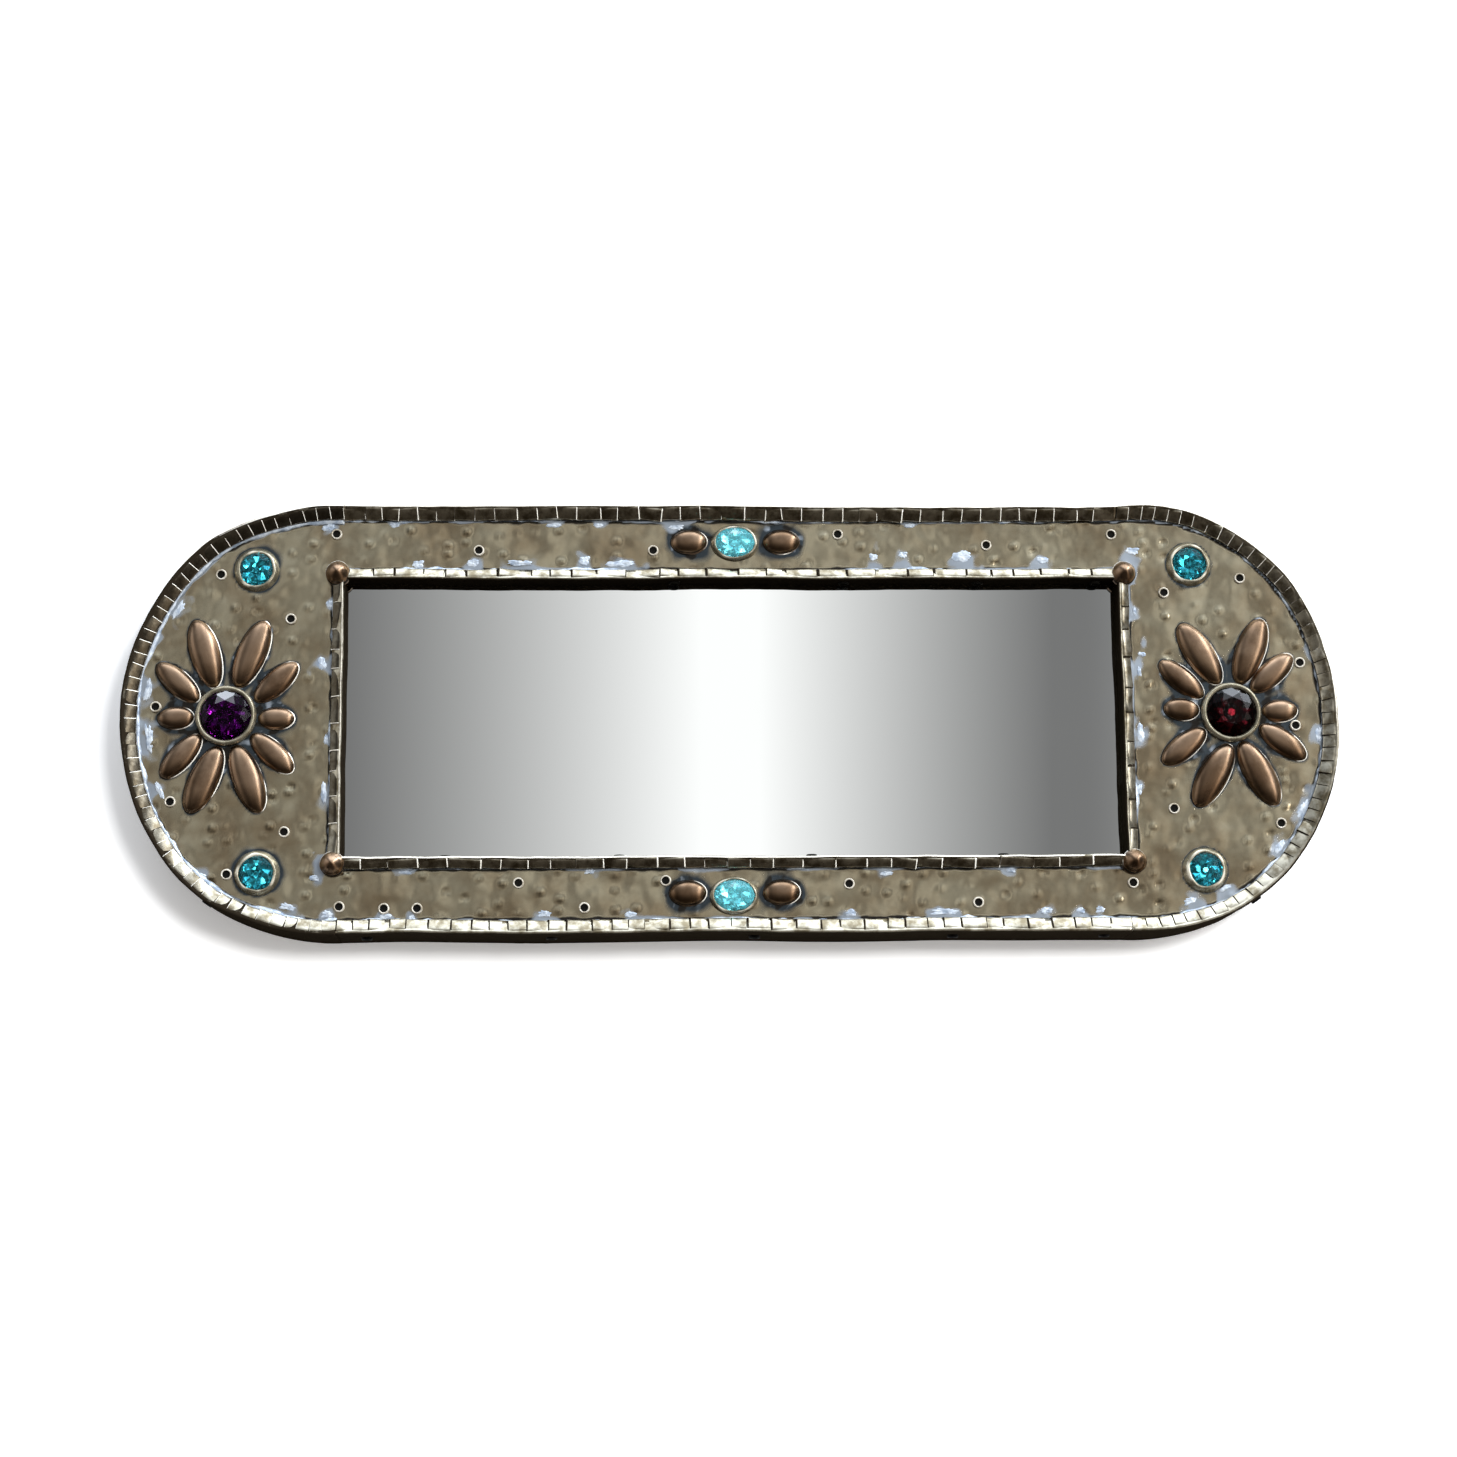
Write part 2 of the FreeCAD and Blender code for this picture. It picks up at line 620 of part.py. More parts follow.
def make_glazing():
    """Plain rectangular mirror at the front of the rebate, and the packing board behind it."""
    margin = "( sheet_gauge + fit_gap + rabbet_lap - mirror_play )"
    for label, gauge, front in (("mirror_glass", "mirror_gauge", "core_back + rebate_depth"),
                                ("packing_board", "rebate_depth - mirror_gauge",
                                 "core_back + rebate_depth - mirror_gauge")):
        slab = doc.addObject("Part::Box", f"{label}_slab")
        bind(slab, Length=f"2 * ( window_half_width + {margin} )", Width=gauge,
             Height=f"2 * ( window_half_height + {margin} )")
        for axis, formula in (("x", f"-1 * ( window_half_width + {margin} )"),
                              ("y", f"-1 * ( {front} )"),
                              ("z", f"-1 * ( window_half_height + {margin} )")):
            slab.setExpression(f"Placement.Base.{axis}", expression(formula))
        add_part(label, slab)


def make_solder():
    """Fillets of solder along the feet of the outer flange and of the window flange."""
    foot = "end_radius - flange_run"
    outer = [("plate_front", foot), ("plate_front + sheet_gauge", foot),
             ("plate_front", f"{foot} - solder_leg")]
    beads = []
    for angle in (0, 180):
        body, _ = straight_strip(f"solder_straight_{angle}", outer, "2 * straight_half")
        body.Placement = turned(angle)
        beads.append(body)
        side = 1 if angle == 0 else -1
        body, _ = curved_strip(f"solder_end_{angle}", outer)
        body.Placement = turned(angle, Vector(side * size("straight_half"), 0, 0))
        beads.append(body)
    runs = ((0, "window_half_height", "window_half_width"), (180, "window_half_height", "window_half_width"),
            (90, "window_half_width", "window_half_height"), (-90, "window_half_width", "window_half_height"))
    for angle, inner, half_run in runs:
        edge = f"{inner} + window_flange_run"
        bead = [("plate_front", edge), ("plate_front + sheet_gauge", edge),
                ("plate_front", f"{edge} + solder_leg")]
        body, _ = straight_strip(f"solder_window_{angle % 360}", bead, f"2 * ( {half_run} - knob_offset )")
        body.Placement = turned(angle)
        beads.append(body)
    seam = doc.addObject("Part::Compound", "solder")
    seam.Links = beads
    add_part("solder_seams", seam)
    doc.recompute()


def domed(name, length, width, height, x, z, bearing):
    """Half ellipsoid standing on the face plate, its long axis along a bearing."""
    dome = doc.addObject("Part::Ellipsoid", name)
    bind(dome, Radius1=height, Radius2=f"{length} / 2", Radius3=f"{width} / 2")
    dome.Angle1 = 0.0
    dome.Angle2 = 90.0
    dome.Placement = Placement(at(x, size("plate_front"), z),
                               Rotation(ABOUT_DEPTH, -bearing) * Rotation(ACROSS, 90))
    return dome


def draw_half_egg(sketch, length, girth):
    """Draw half an egg in front of the X axis, its blunt end towards +X, from formulas for its size."""
    half, wide = size(length) / 2, size(girth) / 2
    blunt, narrow = wide * size("petal_outer_round"), wide * size("petal_inner_round")
    mean = (blunt + narrow) / 2
    side = ((half - mean) ** 2 / (wide - mean) + mean + wide) / 2
    lean = math.atan2(side - wide, half - mean)
    arcs = ((Vector(narrow - half, 0, 0), narrow, -math.pi, lean - math.pi),
            (Vector(0, side - wide, 0), side, lean - math.pi, -lean),
            (Vector(half - blunt, 0, 0), blunt, -lean, 0))
    edges = [sketch.addGeometry(Part.ArcOfCircle(Part.Circle(middle, UPWARD, radius), first, last), False)
             for middle, radius, first, last in arcs]
    edges.append(sketch.addGeometry(Part.LineSegment(Vector(half, 0, 0), Vector(-half, 0, 0)), False))
    widest = sketch.addGeometry(Part.LineSegment(Vector(-half, -wide, 0), Vector(half, -wide, 0)), True)
    for step, kind in enumerate(("Tangent", "Tangent", "Coincident", "Coincident")):
        sketch.addConstraint(Sketcher.Constraint(kind, edges[step], 2, edges[(step + 1) % 4], 1))
    for edge, point in ((edges[0], 3), (edges[2], 3), (edges[3], 1), (edges[3], 2)):
        sketch.addConstraint(Sketcher.Constraint("PointOnObject", edge, point, -1))
    sketch.addConstraint(Sketcher.Constraint("Horizontal", widest))
    sketch.addConstraint(Sketcher.Constraint("Tangent", edges[1], widest))
    distances = (("Radius", (edges[0], narrow), f"{girth} / 2 * petal_inner_round"),
                 ("Radius", (edges[2], blunt), f"{girth} / 2 * petal_outer_round"),
                 ("DistanceX", (-1, 1, edges[3], 1, half), f"{length} / 2"),
                 ("DistanceX", (edges[3], 2, -1, 1, half), f"{length} / 2"),
                 ("DistanceY", (widest, 1, -1, 1, wide), f"{girth} / 2"))
    for kind, arguments, formula in distances:
        index = sketch.addConstraint(Sketcher.Constraint(kind, *arguments))
        sketch.setExpression(f"Constraints[{index}]", expression(formula))


def petal_pattern(kind):
    """Egg-shaped dome of one size: half an egg turned about X, sunk so that its sides lean."""
    body, origin = new_body(f"{kind}_petal_pattern")
    sketch = new_sketch(body, origin["XY_Plane"], f"{kind}_petal_egg")
    draw_half_egg(sketch, f"{kind}_petal_length", f"{kind}_petal_girth")
    egg = body.newObject("PartDesign::Revolution", "Revolution")
    egg.Profile = sketch
    egg.ReferenceAxis = (sketch, ["H_Axis"])
    egg.Midplane = True
    egg.Angle = 180.0
    doc.recompute()
    floor = new_sketch(body, origin["XZ_Plane"], f"{kind}_petal_floor")
    across, height = f"{kind}_petal_length", f"{kind}_petal_girth"
    draw_polygon(floor, [(f"-1 * {across}", f"-1 * {height}"), (across, f"-1 * {height}"),
                         (across, height), (f"-1 * {across}", height)])
    body.Tip = pocket_forward(body, floor, "petal_sink")
    return body


def make_petals():
    """Ten domed copper petals round each of the two flowers."""
    patterns = {kind: petal_pattern(kind) for kind in ("long", "middle", "short")}
    depth = size("plate_front") - size("petal_sink")
    for side, petals in PETALS.items():
        x, z = FLOWER_CENTRES[side]
        for name, kind, bearing, lean in petals:
            reach = size("petal_inner_radius") + size(f"{kind}_petal_length") / 2
            turn = math.radians(bearing)
            label = f"petal_{side}_{name}"
            petal = doc.addObject("Part::Feature", label)
            petal.Shape = patterns[kind].Shape
            petal.Placement = Placement(at(x + reach * math.cos(turn), depth, z + reach * math.sin(turn)),
                                        Rotation(ABOUT_DEPTH, -bearing - lean))
            add_part(label, petal)


def make_oval_domes():
    """Four plain copper domes beside the oval gems, in one node."""
    domes = [domed(f"oval_dome_{step}", "dome_length", "dome_width", "dome_height", x, z, 0)
             for step, (x, z) in enumerate(OVAL_DOMES)]
    group = doc.addObject("Part::Compound", "domes")
    group.Links = domes
    add_part("oval_domes", group)


def ring_points(count, half_length, half_height, depth, offset=0.0):
    """Points evenly round an ellipse in the plane of the face."""
    turns = (2 * math.pi * (step + offset) / count for step in range(count))
    return [at(half_length * math.cos(turn), depth, half_height * math.sin(turn)) for turn in turns]


def gem_shape(half_length, half_height):
    """Brilliant-cut stone standing on its culet at the origin, facing the front."""
    scale = max(half_length, half_height)
    low = GEM_PAVILION_SHARE * scale
    high = low + GEM_GIRDLE_SHARE * scale
    top = high + GEM_CROWN_SHARE * scale
    kite = GEM_TABLE_SHARE + (1 - GEM_TABLE_SHARE) * GEM_KITE_SHARE
    kite_radius = kite / math.cos(math.pi / GEM_SIDES)
    kite_depth = top + (high - top) * GEM_KITE_SHARE
    table = ring_points(GEM_SIDES, half_length * GEM_TABLE_SHARE, half_height * GEM_TABLE_SHARE, top)
    stars = ring_points(GEM_SIDES, half_length * kite_radius, half_height * kite_radius, kite_depth, 0.5)
    upper = ring_points(2 * GEM_SIDES, half_length, half_height, high)
    lower = ring_points(2 * GEM_SIDES, half_length, half_height, low)
    culet = ring_points(GEM_SIDES, half_length * GEM_CULET_SHARE, half_height * GEM_CULET_SHARE, 0.0)
    facets = [table, culet]
    for step in range(GEM_SIDES):
        near, after, beyond = 2 * step, 2 * step + 1, (2 * step + 2) % (2 * GEM_SIDES)
        following = (step + 1) % GEM_SIDES
        facets.append([table[step], table[following], stars[step]])
        facets.append([table[step], stars[step - 1], upper[near], stars[step]])
        facets.append([stars[step], upper[near], upper[after]])
        facets.append([stars[step], upper[after], upper[beyond]])
        facets.append([upper[near], upper[after], lower[after], lower[near]])
        facets.append([upper[after], upper[beyond], lower[beyond], lower[after]])
        facets.append([culet[step], lower[near - 1], lower[near]])
        facets.append([culet[step], lower[near], lower[after]])
        facets.append([culet[step], lower[after], culet[following]])
    faces = [Part.Face(Part.makePolygon(corners + corners[:1])) for corners in facets]
    stone = Part.Solid(Part.Shell(faces))
    return stone if stone.Volume > 0 else stone.reversed()


def set_gem(label, x, z, half_length, half_height):
    """Place one faceted gem on the face plate."""
    gem = doc.addObject("Part::Feature", label)
    gem.Shape = gem_shape(size(half_length), size(half_height))
    gem.Placement = Placement(at(x, size("plate_front"), z), Rotation())
    add_part(label, gem)


def make_gems():
    """Round gems of the flowers and corners, and oval gems at the middle of the long sides."""
    for side, (x, z) in FLOWER_CENTRES.items():
        set_gem(f"flower_gem_{side}", x, z, "flower_gem_radius", "flower_gem_radius")
    for corner, (x, z) in CORNER_GEMS.items():
        set_gem(f"corner_gem_{corner}", x, z, "corner_gem_radius", "corner_gem_radius")
    for side, (x, z) in OVAL_GEMS.items():
        set_gem(f"oval_gem_{side}", x, z, "oval_gem_half_length", "oval_gem_half_height")


def make_round_settings():
    """Ring bezels of the flower gems, and the pushed-up collars of the corner gems."""
    seat = "( flower_gem_radius + fit_gap )"
    for side, (x, z) in FLOWER_CENTRES.items():
        name = f"flower_bezel_{side}"
        bezel = turned_piece(name, [
            (seat, "0"), ("bezel_radius", "0"), ("bezel_radius", "0.8 * bezel_height"),
            ("bezel_radius - 0.7", "bezel_height"), (f"{seat} - 0.6", "bezel_height"),
            (f"{seat} - 0.6", "bezel_height - 0.4"), (seat, "bezel_height - 0.4")])
        bezel.Placement = Placement(at(x, size("plate_front"), z), Rotation())
        add_part(name, bezel)
    seat = "( corner_gem_radius + fit_gap )"
    collar = turned_piece("collar_pattern", [
        (seat, "0"), ("collar_radius", "0"), ("collar_radius - 0.9", "0.9 * collar_height"),
        (f"{seat} - 0.4", "collar_height"), (f"{seat} - 0.4", "collar_height - 0.4"),
        (seat, "collar_height - 0.4")])
    places = [(at(x, size("plate_front"), z), FRONT) for x, z in CORNER_GEMS.values()]
    scattered("corner_collars", collar, places)


def ellipse_edge(name, half_length, half_height, depth):
    """Ellipse in the plane of the face, from formulas for its half axes and depth."""
    ellipse = doc.addObject("Part::Ellipse", name)
    bind(ellipse, MajorRadius=half_length, MinorRadius=half_height)
    ellipse.Placement = Placement(Vector(0, 0, 0), Rotation(ACROSS, 90))
    ellipse.setExpression("Placement.Base.y", expression(f"-1 * ( {depth} )"))
    return ellipse


def ellipse_loft(name, base, top):
    """Solid between two ellipses, each given as formulas (half length, half height, depth)."""
    loft = doc.addObject("Part::Loft", name)
    loft.Sections = [ellipse_edge(f"{name}_base", *base), ellipse_edge(f"{name}_top", *top)]
    loft.Solid = True
    loft.Ruled = True
    return loft


def make_oval_collars():
    """Sloping oval collars round the two oval gems, in one node."""
    outer = ellipse_loft("oval_outer", ("oval_collar_half_length", "oval_collar_half_height", "0"),
                         ("oval_collar_half_length - 0.6", "oval_collar_half_height - 0.4", "collar_height"))
    seat = ("oval_gem_half_length + fit_gap", "oval_gem_half_height + fit_gap")
    inner = ellipse_loft("oval_inner", (*seat, "-1"), (*seat, "collar_height + 1"))
    collar = doc.addObject("Part::Cut", "oval_collar_pattern")
    collar.Base = outer
    collar.Tool = inner
    doc.recompute()
    places = [(at(x, size("plate_front"), z), FRONT) for x, z in OVAL_GEMS.values()]
    scattered("oval_collars", collar, places)


def make_hanger_straps():
    """Two straps with rolled eyes on the back board, one screw each."""
    straps = []
    for side in (-1, 1):
        plate = doc.addObject("Part::Box", "strap_plate")
        bind(plate, Length="strap_width", Width="strap_gauge", Height="strap_length")
        plate.Placement = Placement(Vector(-size("strap_width") / 2, -size("eye_outer_radius"),
                                           -size("strap_length")), Rotation())
        eye = doc.addObject("Part::Cylinder", "strap_eye")
        bore = doc.addObject("Part::Cylinder", "strap_bore")
        for tube, radius in ((eye, "eye_outer_radius"), (bore, "eye_bore_radius")):
            bind(tube, Radius=radius, Height="strap_width")
            tube.Placement = Placement(Vector(-size("strap_width") / 2, 0, 0), Rotation(ABOUT_DEPTH, 90))
        hole = doc.addObject("Part::Cylinder", "strap_hole")
        bind(hole, Radius="screw_shank_radius", Height="4 * eye_outer_radius")
        hole.Placement = Placement(Vector(0, 2 * size("eye_outer_radius"), -size("strap_screw_drop")),
                                   Rotation(ACROSS, 90))
        joined = doc.addObject("Part::MultiFuse", "strap_joined")
        joined.Shapes = [plate, eye]
        bored = doc.addObject("Part::Cut", "strap_bored")
        bored.Base = joined
        bored.Tool = bore
        strap = doc.addObject("Part::Cut", "strap")
        strap.Base = bored
        strap.Tool = hole
        strap.Placement = Placement(ring_pivot(side), Rotation())
        straps.append(strap)
    group = doc.addObject("Part::Compound", "straps")
    group.Links = straps
    add_part("hanger_straps", group)
    doc.recompute()


def ring_pivot(side):
    """Middle of the bar that a hanger ring swings on."""
    return at(side * size("hanger_x"), size("board_back") - size("eye_outer_radius"), size("hanger_z"))


def ring_path():
    """Closed path of a D-shaped ring that hangs down from its bar, bar along X through the origin."""
    half, corner, side = size("ring_half_width"), size("ring_corner_radius"), size("ring_side")
    bend = corner * math.sqrt(0.5)
    low = -corner - side
    start, end = Vector(corner - half, 0, 0), Vector(half - corner, 0, 0)
    right_corner = Vector(half - corner + bend, 0, bend - corner)
    left_corner = Vector(corner - half - bend, 0, bend - corner)
    right_top, left_top = Vector(half, 0, -corner), Vector(-half, 0, -corner)
    right_low, left_low = Vector(half, 0, low), Vector(-half, 0, low)
    curves = [Part.LineSegment(start, end), Part.Arc(end, right_corner, right_top),
              Part.LineSegment(right_top, right_low), Part.Arc(right_low, Vector(0, 0, low - half), left_low),
              Part.LineSegment(left_low, left_top), Part.Arc(left_top, left_corner, start)]
    return Part.Wire([curve.toShape() for curve in curves]), start


def make_hanger_rings():
    """Two wire rings that swing in the eyes of the straps."""
    path, start = ring_path()
    section = Part.Wire([Part.Circle(start, ACROSS, size("ring_wire_radius")).toShape()])
    wire = path.makePipeShell([section], True, False)
    for name, side in (("hanger_ring_left", -1), ("hanger_ring_right", 1)):
        ring = doc.addObject("Part::Feature", name)
        ring.Shape = wire
        ring.Placement = Placement(ring_pivot(side), Rotation())
        add_part(name, ring)


def check_document():
    """Stop if any object of the document failed, or a sub-part has no valid solid."""
    doc.recompute()
    for feature in doc.Objects:
        if {"Invalid", "Error"} & set(feature.State):
            raise RuntimeError(f"{feature.Name} failed: {feature.State}")
    for part in parts:
        if part.Shape.isNull() or not part.Shape.isValid() or part.Shape.Volume <= 0:
            raise RuntimeError(f"{part.Label} has no valid solid")


def export_parts():
    """Write one file for each sub-part, named by its label."""
    os.makedirs("parts", exist_ok=True)
    for part in parts:
        part.Shape.exportStep(f"parts/{part.Label}.step")
        print(part.Label, len(part.Shape.Solids), round(part.Shape.Volume))


make_plates()
make_edge_strips()
make_window_strips()
make_corner_knobs()
make_core()
make_glazing()
make_solder()
make_petals()
make_oval_domes()
make_gems()
make_round_settings()
make_oval_collars()
make_fasteners()
make_hanger_straps()
make_hanger_rings()
drill_parts(fastener_holes(), ("face_plate", "back_board", "edge_strip_top", "edge_strip_bottom",
                               "edge_strip_left", "edge_strip_right", "window_strip_top",
                               "window_strip_bottom", "core_rail_top", "core_rail_bottom",
                               "core_end_left", "core_end_right"))
check_document()
export_parts()
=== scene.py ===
"""Looks of a wall mirror in a round-ended frame of hammered brass with copper flowers and glass stones.

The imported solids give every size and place. Sizes in this file are millimetres, and a depth is the
distance in front of the wall, along -Y. Meshes are written in metres.
"""
import logging
import math
from dataclasses import dataclass, field
from enum import Enum
from functools import cache
from typing import Any, Sequence

import bpy
import numpy as np
from bpy.types import Material, Mesh, Node, NodeSocket, NodeTree, Object
from mathutils import Matrix, Vector, noise


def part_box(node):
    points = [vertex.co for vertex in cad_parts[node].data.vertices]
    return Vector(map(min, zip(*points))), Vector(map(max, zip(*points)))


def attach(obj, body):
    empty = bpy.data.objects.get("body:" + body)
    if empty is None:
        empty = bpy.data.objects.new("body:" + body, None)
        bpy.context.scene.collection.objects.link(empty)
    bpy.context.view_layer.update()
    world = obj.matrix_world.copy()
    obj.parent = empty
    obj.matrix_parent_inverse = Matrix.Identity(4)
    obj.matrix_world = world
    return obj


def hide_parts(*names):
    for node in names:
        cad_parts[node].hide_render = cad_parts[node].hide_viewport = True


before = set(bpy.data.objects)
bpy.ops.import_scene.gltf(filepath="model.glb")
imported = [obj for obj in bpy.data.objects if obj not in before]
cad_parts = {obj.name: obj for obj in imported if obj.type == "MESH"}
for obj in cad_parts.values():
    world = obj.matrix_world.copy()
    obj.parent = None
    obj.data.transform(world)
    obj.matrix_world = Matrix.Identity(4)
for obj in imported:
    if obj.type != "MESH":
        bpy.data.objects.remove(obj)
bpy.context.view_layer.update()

log = logging.getLogger("brass_mirror")

MM = 0.001
BODY = "frame"
CORNERS = ("top_left", "top_right", "bottom_left", "bottom_right")
Points = np.ndarray
Faces = list[tuple[int, ...]]
Value = NodeSocket | float


class Seed(Enum):
    """Fixed seeds of the hand-made scatter, one for each craft step."""

    HAMMER = 7
    EDGE_SNIPS = 21
    WINDOW_SNIPS = 33
    SOLDER = 58
    COLLARS = 64


class Side(Enum):
    """Ends of the frame, as the viewer sees them."""

    LEFT = "left"
    RIGHT = "right"


def linear(hex_colour: str) -> tuple[float, float, float, float]:
    """Turn an sRGB hex colour into linear RGBA.

    Args:
        hex_colour: colour such as "#b0a587".

    Returns:
        Linear red, green and blue, with full alpha.
    """
    shares = [int(hex_colour[start:start + 2], 16) / 255 for start in (1, 3, 5)]
    red, green, blue = (s / 12.92 if s <= 0.04045 else ((s + 0.055) / 1.055) ** 2.4 for s in shares)
    return red, green, blue, 1.0


def add_node(tree: NodeTree, kind: str, inputs: dict | None = None, **settings: Any) -> Node:
    """Add one node with its settings, and set or link its inputs.

    Args:
        tree: node tree that takes the node.
        kind: node type name.
        inputs: socket name or index to a value, or to an output socket to link.
        settings: node properties.

    Returns:
        The new node.
    """
    node = tree.nodes.new(kind)
    for name, value in settings.items():
        setattr(node, name, value)
    for key, value in (inputs or {}).items():
        if isinstance(value, NodeSocket):
            tree.links.new(value, node.inputs[key])
        else:
            node.inputs[key].default_value = value
    return node


def calc(tree: NodeTree, operation: str, *values: Value) -> NodeSocket:
    """Add one step of arithmetic, and give its result."""
    return add_node(tree, "ShaderNodeMath", dict(enumerate(values)), operation=operation).outputs[0]


def remap(tree: NodeTree, value: NodeSocket, start: Value, end: Value, low: float = 0.0, high: float = 1.0,
          smooth: bool = False) -> NodeSocket:
    """Carry a span of values over to another span, and clamp what lies outside it.

    Args:
        tree: node tree.
        value: value to carry over.
        start: value that gives low.
        end: value that gives high.
        low: result at the start.
        high: result at the end.
        smooth: whether the ends are eased.

    Returns:
        The result.
    """
    return add_node(tree, "ShaderNodeMapRange", {
        "Value": value, "From Min": start, "From Max": end, "To Min": low, "To Max": high},
        interpolation_type="SMOOTHSTEP" if smooth else "LINEAR").outputs[0]


def blend(tree: NodeTree, share: Value, under: Any, over: Any, mode: str = "MIX") -> NodeSocket:
    """Lay one colour over another by a share, and give the result."""
    return add_node(tree, "ShaderNodeMix", {0: share, 6: under, 7: over}, data_type="RGBA",
                    blend_type=mode).outputs[2]


def mottle(tree: NodeTree, size_mm: float, detail: float, stretch: float = 1.0, **more: float) -> NodeSocket:
    """Add noise in the piece's own space.

    Args:
        tree: node tree.
        size_mm: size of its blotches.
        detail: how many finer layers it has.
        stretch: how much longer a blotch is along X.
        more: other inputs of the noise by name.

    Returns:
        A value of about 0 to 1.
    """
    place = add_node(tree, "ShaderNodeTexCoord").outputs["Object"]
    drawn = add_node(tree, "ShaderNodeMapping", {"Vector": place, "Scale": (1 / stretch, 1.0, 1.0)})
    return add_node(tree, "ShaderNodeTexNoise", {
        "Vector": drawn.outputs[0], "Scale": 1 / (size_mm * MM), "Detail": detail, **more}).outputs[0]


def new_material(name: str) -> tuple[Material, NodeTree]:
    """Start a material with an empty node tree.

    Args:
        name: name of the real material.

    Returns:
        The material and its tree.
    """
    material = bpy.data.materials.new(name)
    material.use_nodes = True
    material.node_tree.nodes.clear()
    return material, material.node_tree


def close_material(tree: NodeTree, inputs: dict[str, Any]) -> None:
    """End a material's tree with a surface that has these inputs."""
    shader = add_node(tree, "ShaderNodeBsdfPrincipled", inputs)
    add_node(tree, "ShaderNodeOutputMaterial", {"Surface": shader.outputs[0]})


@dataclass(frozen=True)
class Film:
    """A thin layer on a metal, where one of the piece's attributes is high.

    Attributes:
        attribute: name of the number stored on each vertex.
        colour: its colour.
        edge: values of the attribute, frayed by the grain, where it starts and where it is full.
        roughness: its gloss.
        metal: how metallic it is.
        fray: how far the grain frays its edge.
    """

    attribute: str
    colour: str
    edge: tuple[float, float]
    roughness: float
    metal: float
    fray: float = 0.3

    def mask(self, tree: NodeTree, grain: NodeSocket) -> NodeSocket:
        """Where it lies: its attribute, frayed by the grain."""
        mark = add_node(tree, "ShaderNodeAttribute", attribute_name=self.attribute).outputs["Fac"]
        return remap(tree, calc(tree, "MULTIPLY_ADD", grain, self.fray, mark), *self.edge)


@dataclass(frozen=True)
class WornMetal:
    """Metal with mottled tarnish, and films: what work and age left on it, and painted highlight and shade.

    Attributes:
        name: material name.
        body: main colour.
        tarnish: colour of the darker blotches.
        roughness: gloss of the body.
        mottle_mm: size of a blotch.
        grain_mm: size of the fine marks in the surface.
        bump_mm: height of the fine marks.
        metal: how metallic the body is.
        films: layers on it, lowest first.
        gloss: strength of the reflections where it isn't metal.
    """

    name: str
    body: str
    tarnish: str
    roughness: float = 0.34
    mottle_mm: float = 22.0
    grain_mm: float = 1.6
    bump_mm: float = 0.03
    metal: float = 1.0
    films: tuple[Film, ...] = ()
    gloss: float = 0.15

    @cache
    def build(self) -> Material:
        """Make the material: blotches and films in the colour, grain in the gloss and relief.

        Returns:
            The material, made once.
        """
        material, tree = new_material(self.name)
        patch = remap(tree, mottle(tree, self.mottle_mm, 4.0, Roughness=0.6), 0.36, 0.68, smooth=True)
        colour = blend(tree, patch, linear(self.body), linear(self.tarnish))
        grain = mottle(tree, self.grain_mm, 3.0, Roughness=0.65)
        rough = calc(tree, "MULTIPLY_ADD", grain, 0.12, self.roughness - 0.06)
        metal: Value = self.metal
        for film in self.films:
            mask = film.mask(tree, grain)
            colour = blend(tree, mask, colour, linear(film.colour))
            rough, metal = (add_node(tree, "ShaderNodeMix", {0: mask, 2: under, 3: over}).outputs[0]
                            for under, over in ((rough, film.roughness), (metal, film.metal)))
        relief = add_node(tree, "ShaderNodeBump", {
            "Height": grain, "Strength": 0.5, "Distance": self.bump_mm * MM})
        close_material(tree, {
            "Base Color": colour, "Metallic": metal, "Roughness": rough, "Specular IOR Level": self.gloss,
            "Normal": relief.outputs[0]})
        return material


@dataclass(frozen=True)
class FoiledGlass:
    """Pressed glass stone: clear tinted glass in front, mirror foil on the facets behind.

    Attributes:
        name: material name.
        tint: colour of the glass.
        foil: colour of the foil behind it.
        clear: how clear the glass is; the rest is milky.
        shine: strength of the painted highlight, a bright coat on the upper facets.
    """

    name: str
    tint: str
    foil: str
    clear: float = 1.0
    shine: float = 1.0

    def glass(self, polish: float) -> Material:
        """Make tinted glass that bends what lies behind it, its reflections greyed; with a highlight it is
        the brighter glass of the upper facets, a painted highlight.

        Args:
            polish: strength of the painted highlight, a bright coat; 0 for the other facets.

        Returns:
            The material.
        """
        material, tree = new_material(f"{self.name}_polished" if polish else self.name)
        haze = remap(tree, mottle(tree, 2.5, 2.0), 0.4, 0.7, 0.0, 0.05)
        close_material(tree, {
            "Base Color": linear(self.tint), "Roughness": haze, "IOR": 1.56,
            "Transmission Weight": self.clear, "Specular Tint": linear("#ffffff" if polish else "#5a5a5a"),
            "Coat Weight": polish, "Coat IOR": 2.3, "Coat Roughness": 0.02})
        return material

    def backing(self) -> Material:
        """Make foil that throws the light back through the stone, darker where it has lifted.

        Returns:
            The material.
        """
        material, tree = new_material(f"{self.name}_foil")
        tone = remap(tree, mottle(tree, 1.6, 2.0), 0.36, 0.56, 0.25, 1.0)
        close_material(tree, {
            "Base Color": blend(tree, 1.0, linear(self.foil), tone, "MULTIPLY"), "Metallic": 0.85,
            "Roughness": 0.04})
        return material

    @cache
    def build(self) -> list[Material]:
        """Make the glass, the foil and the brighter glass of the upper facets, which is a painted highlight.
        """
        return [self.glass(0.0), self.backing(), self.glass(self.shine)]


@dataclass(frozen=True)
class SilveredGlass:
    """Mirror glass: a clean silver coat, with the faintest haze."""

    name: str = "silvered_mirror_glass"
    colour: str = "#f6f8f7"

    @cache
    def build(self) -> Material:
        """Make the material: a sharp mirror whose gloss varies with a film too thin to see.

        Returns:
            The material, made once.
        """
        material, tree = new_material(self.name)
        haze = remap(tree, mottle(tree, 60.0, 3.0), 0.3, 0.7, 0.0, 0.03)
        close_material(tree, {"Base Color": linear(self.colour), "Metallic": 1.0, "Roughness": haze})
        return material


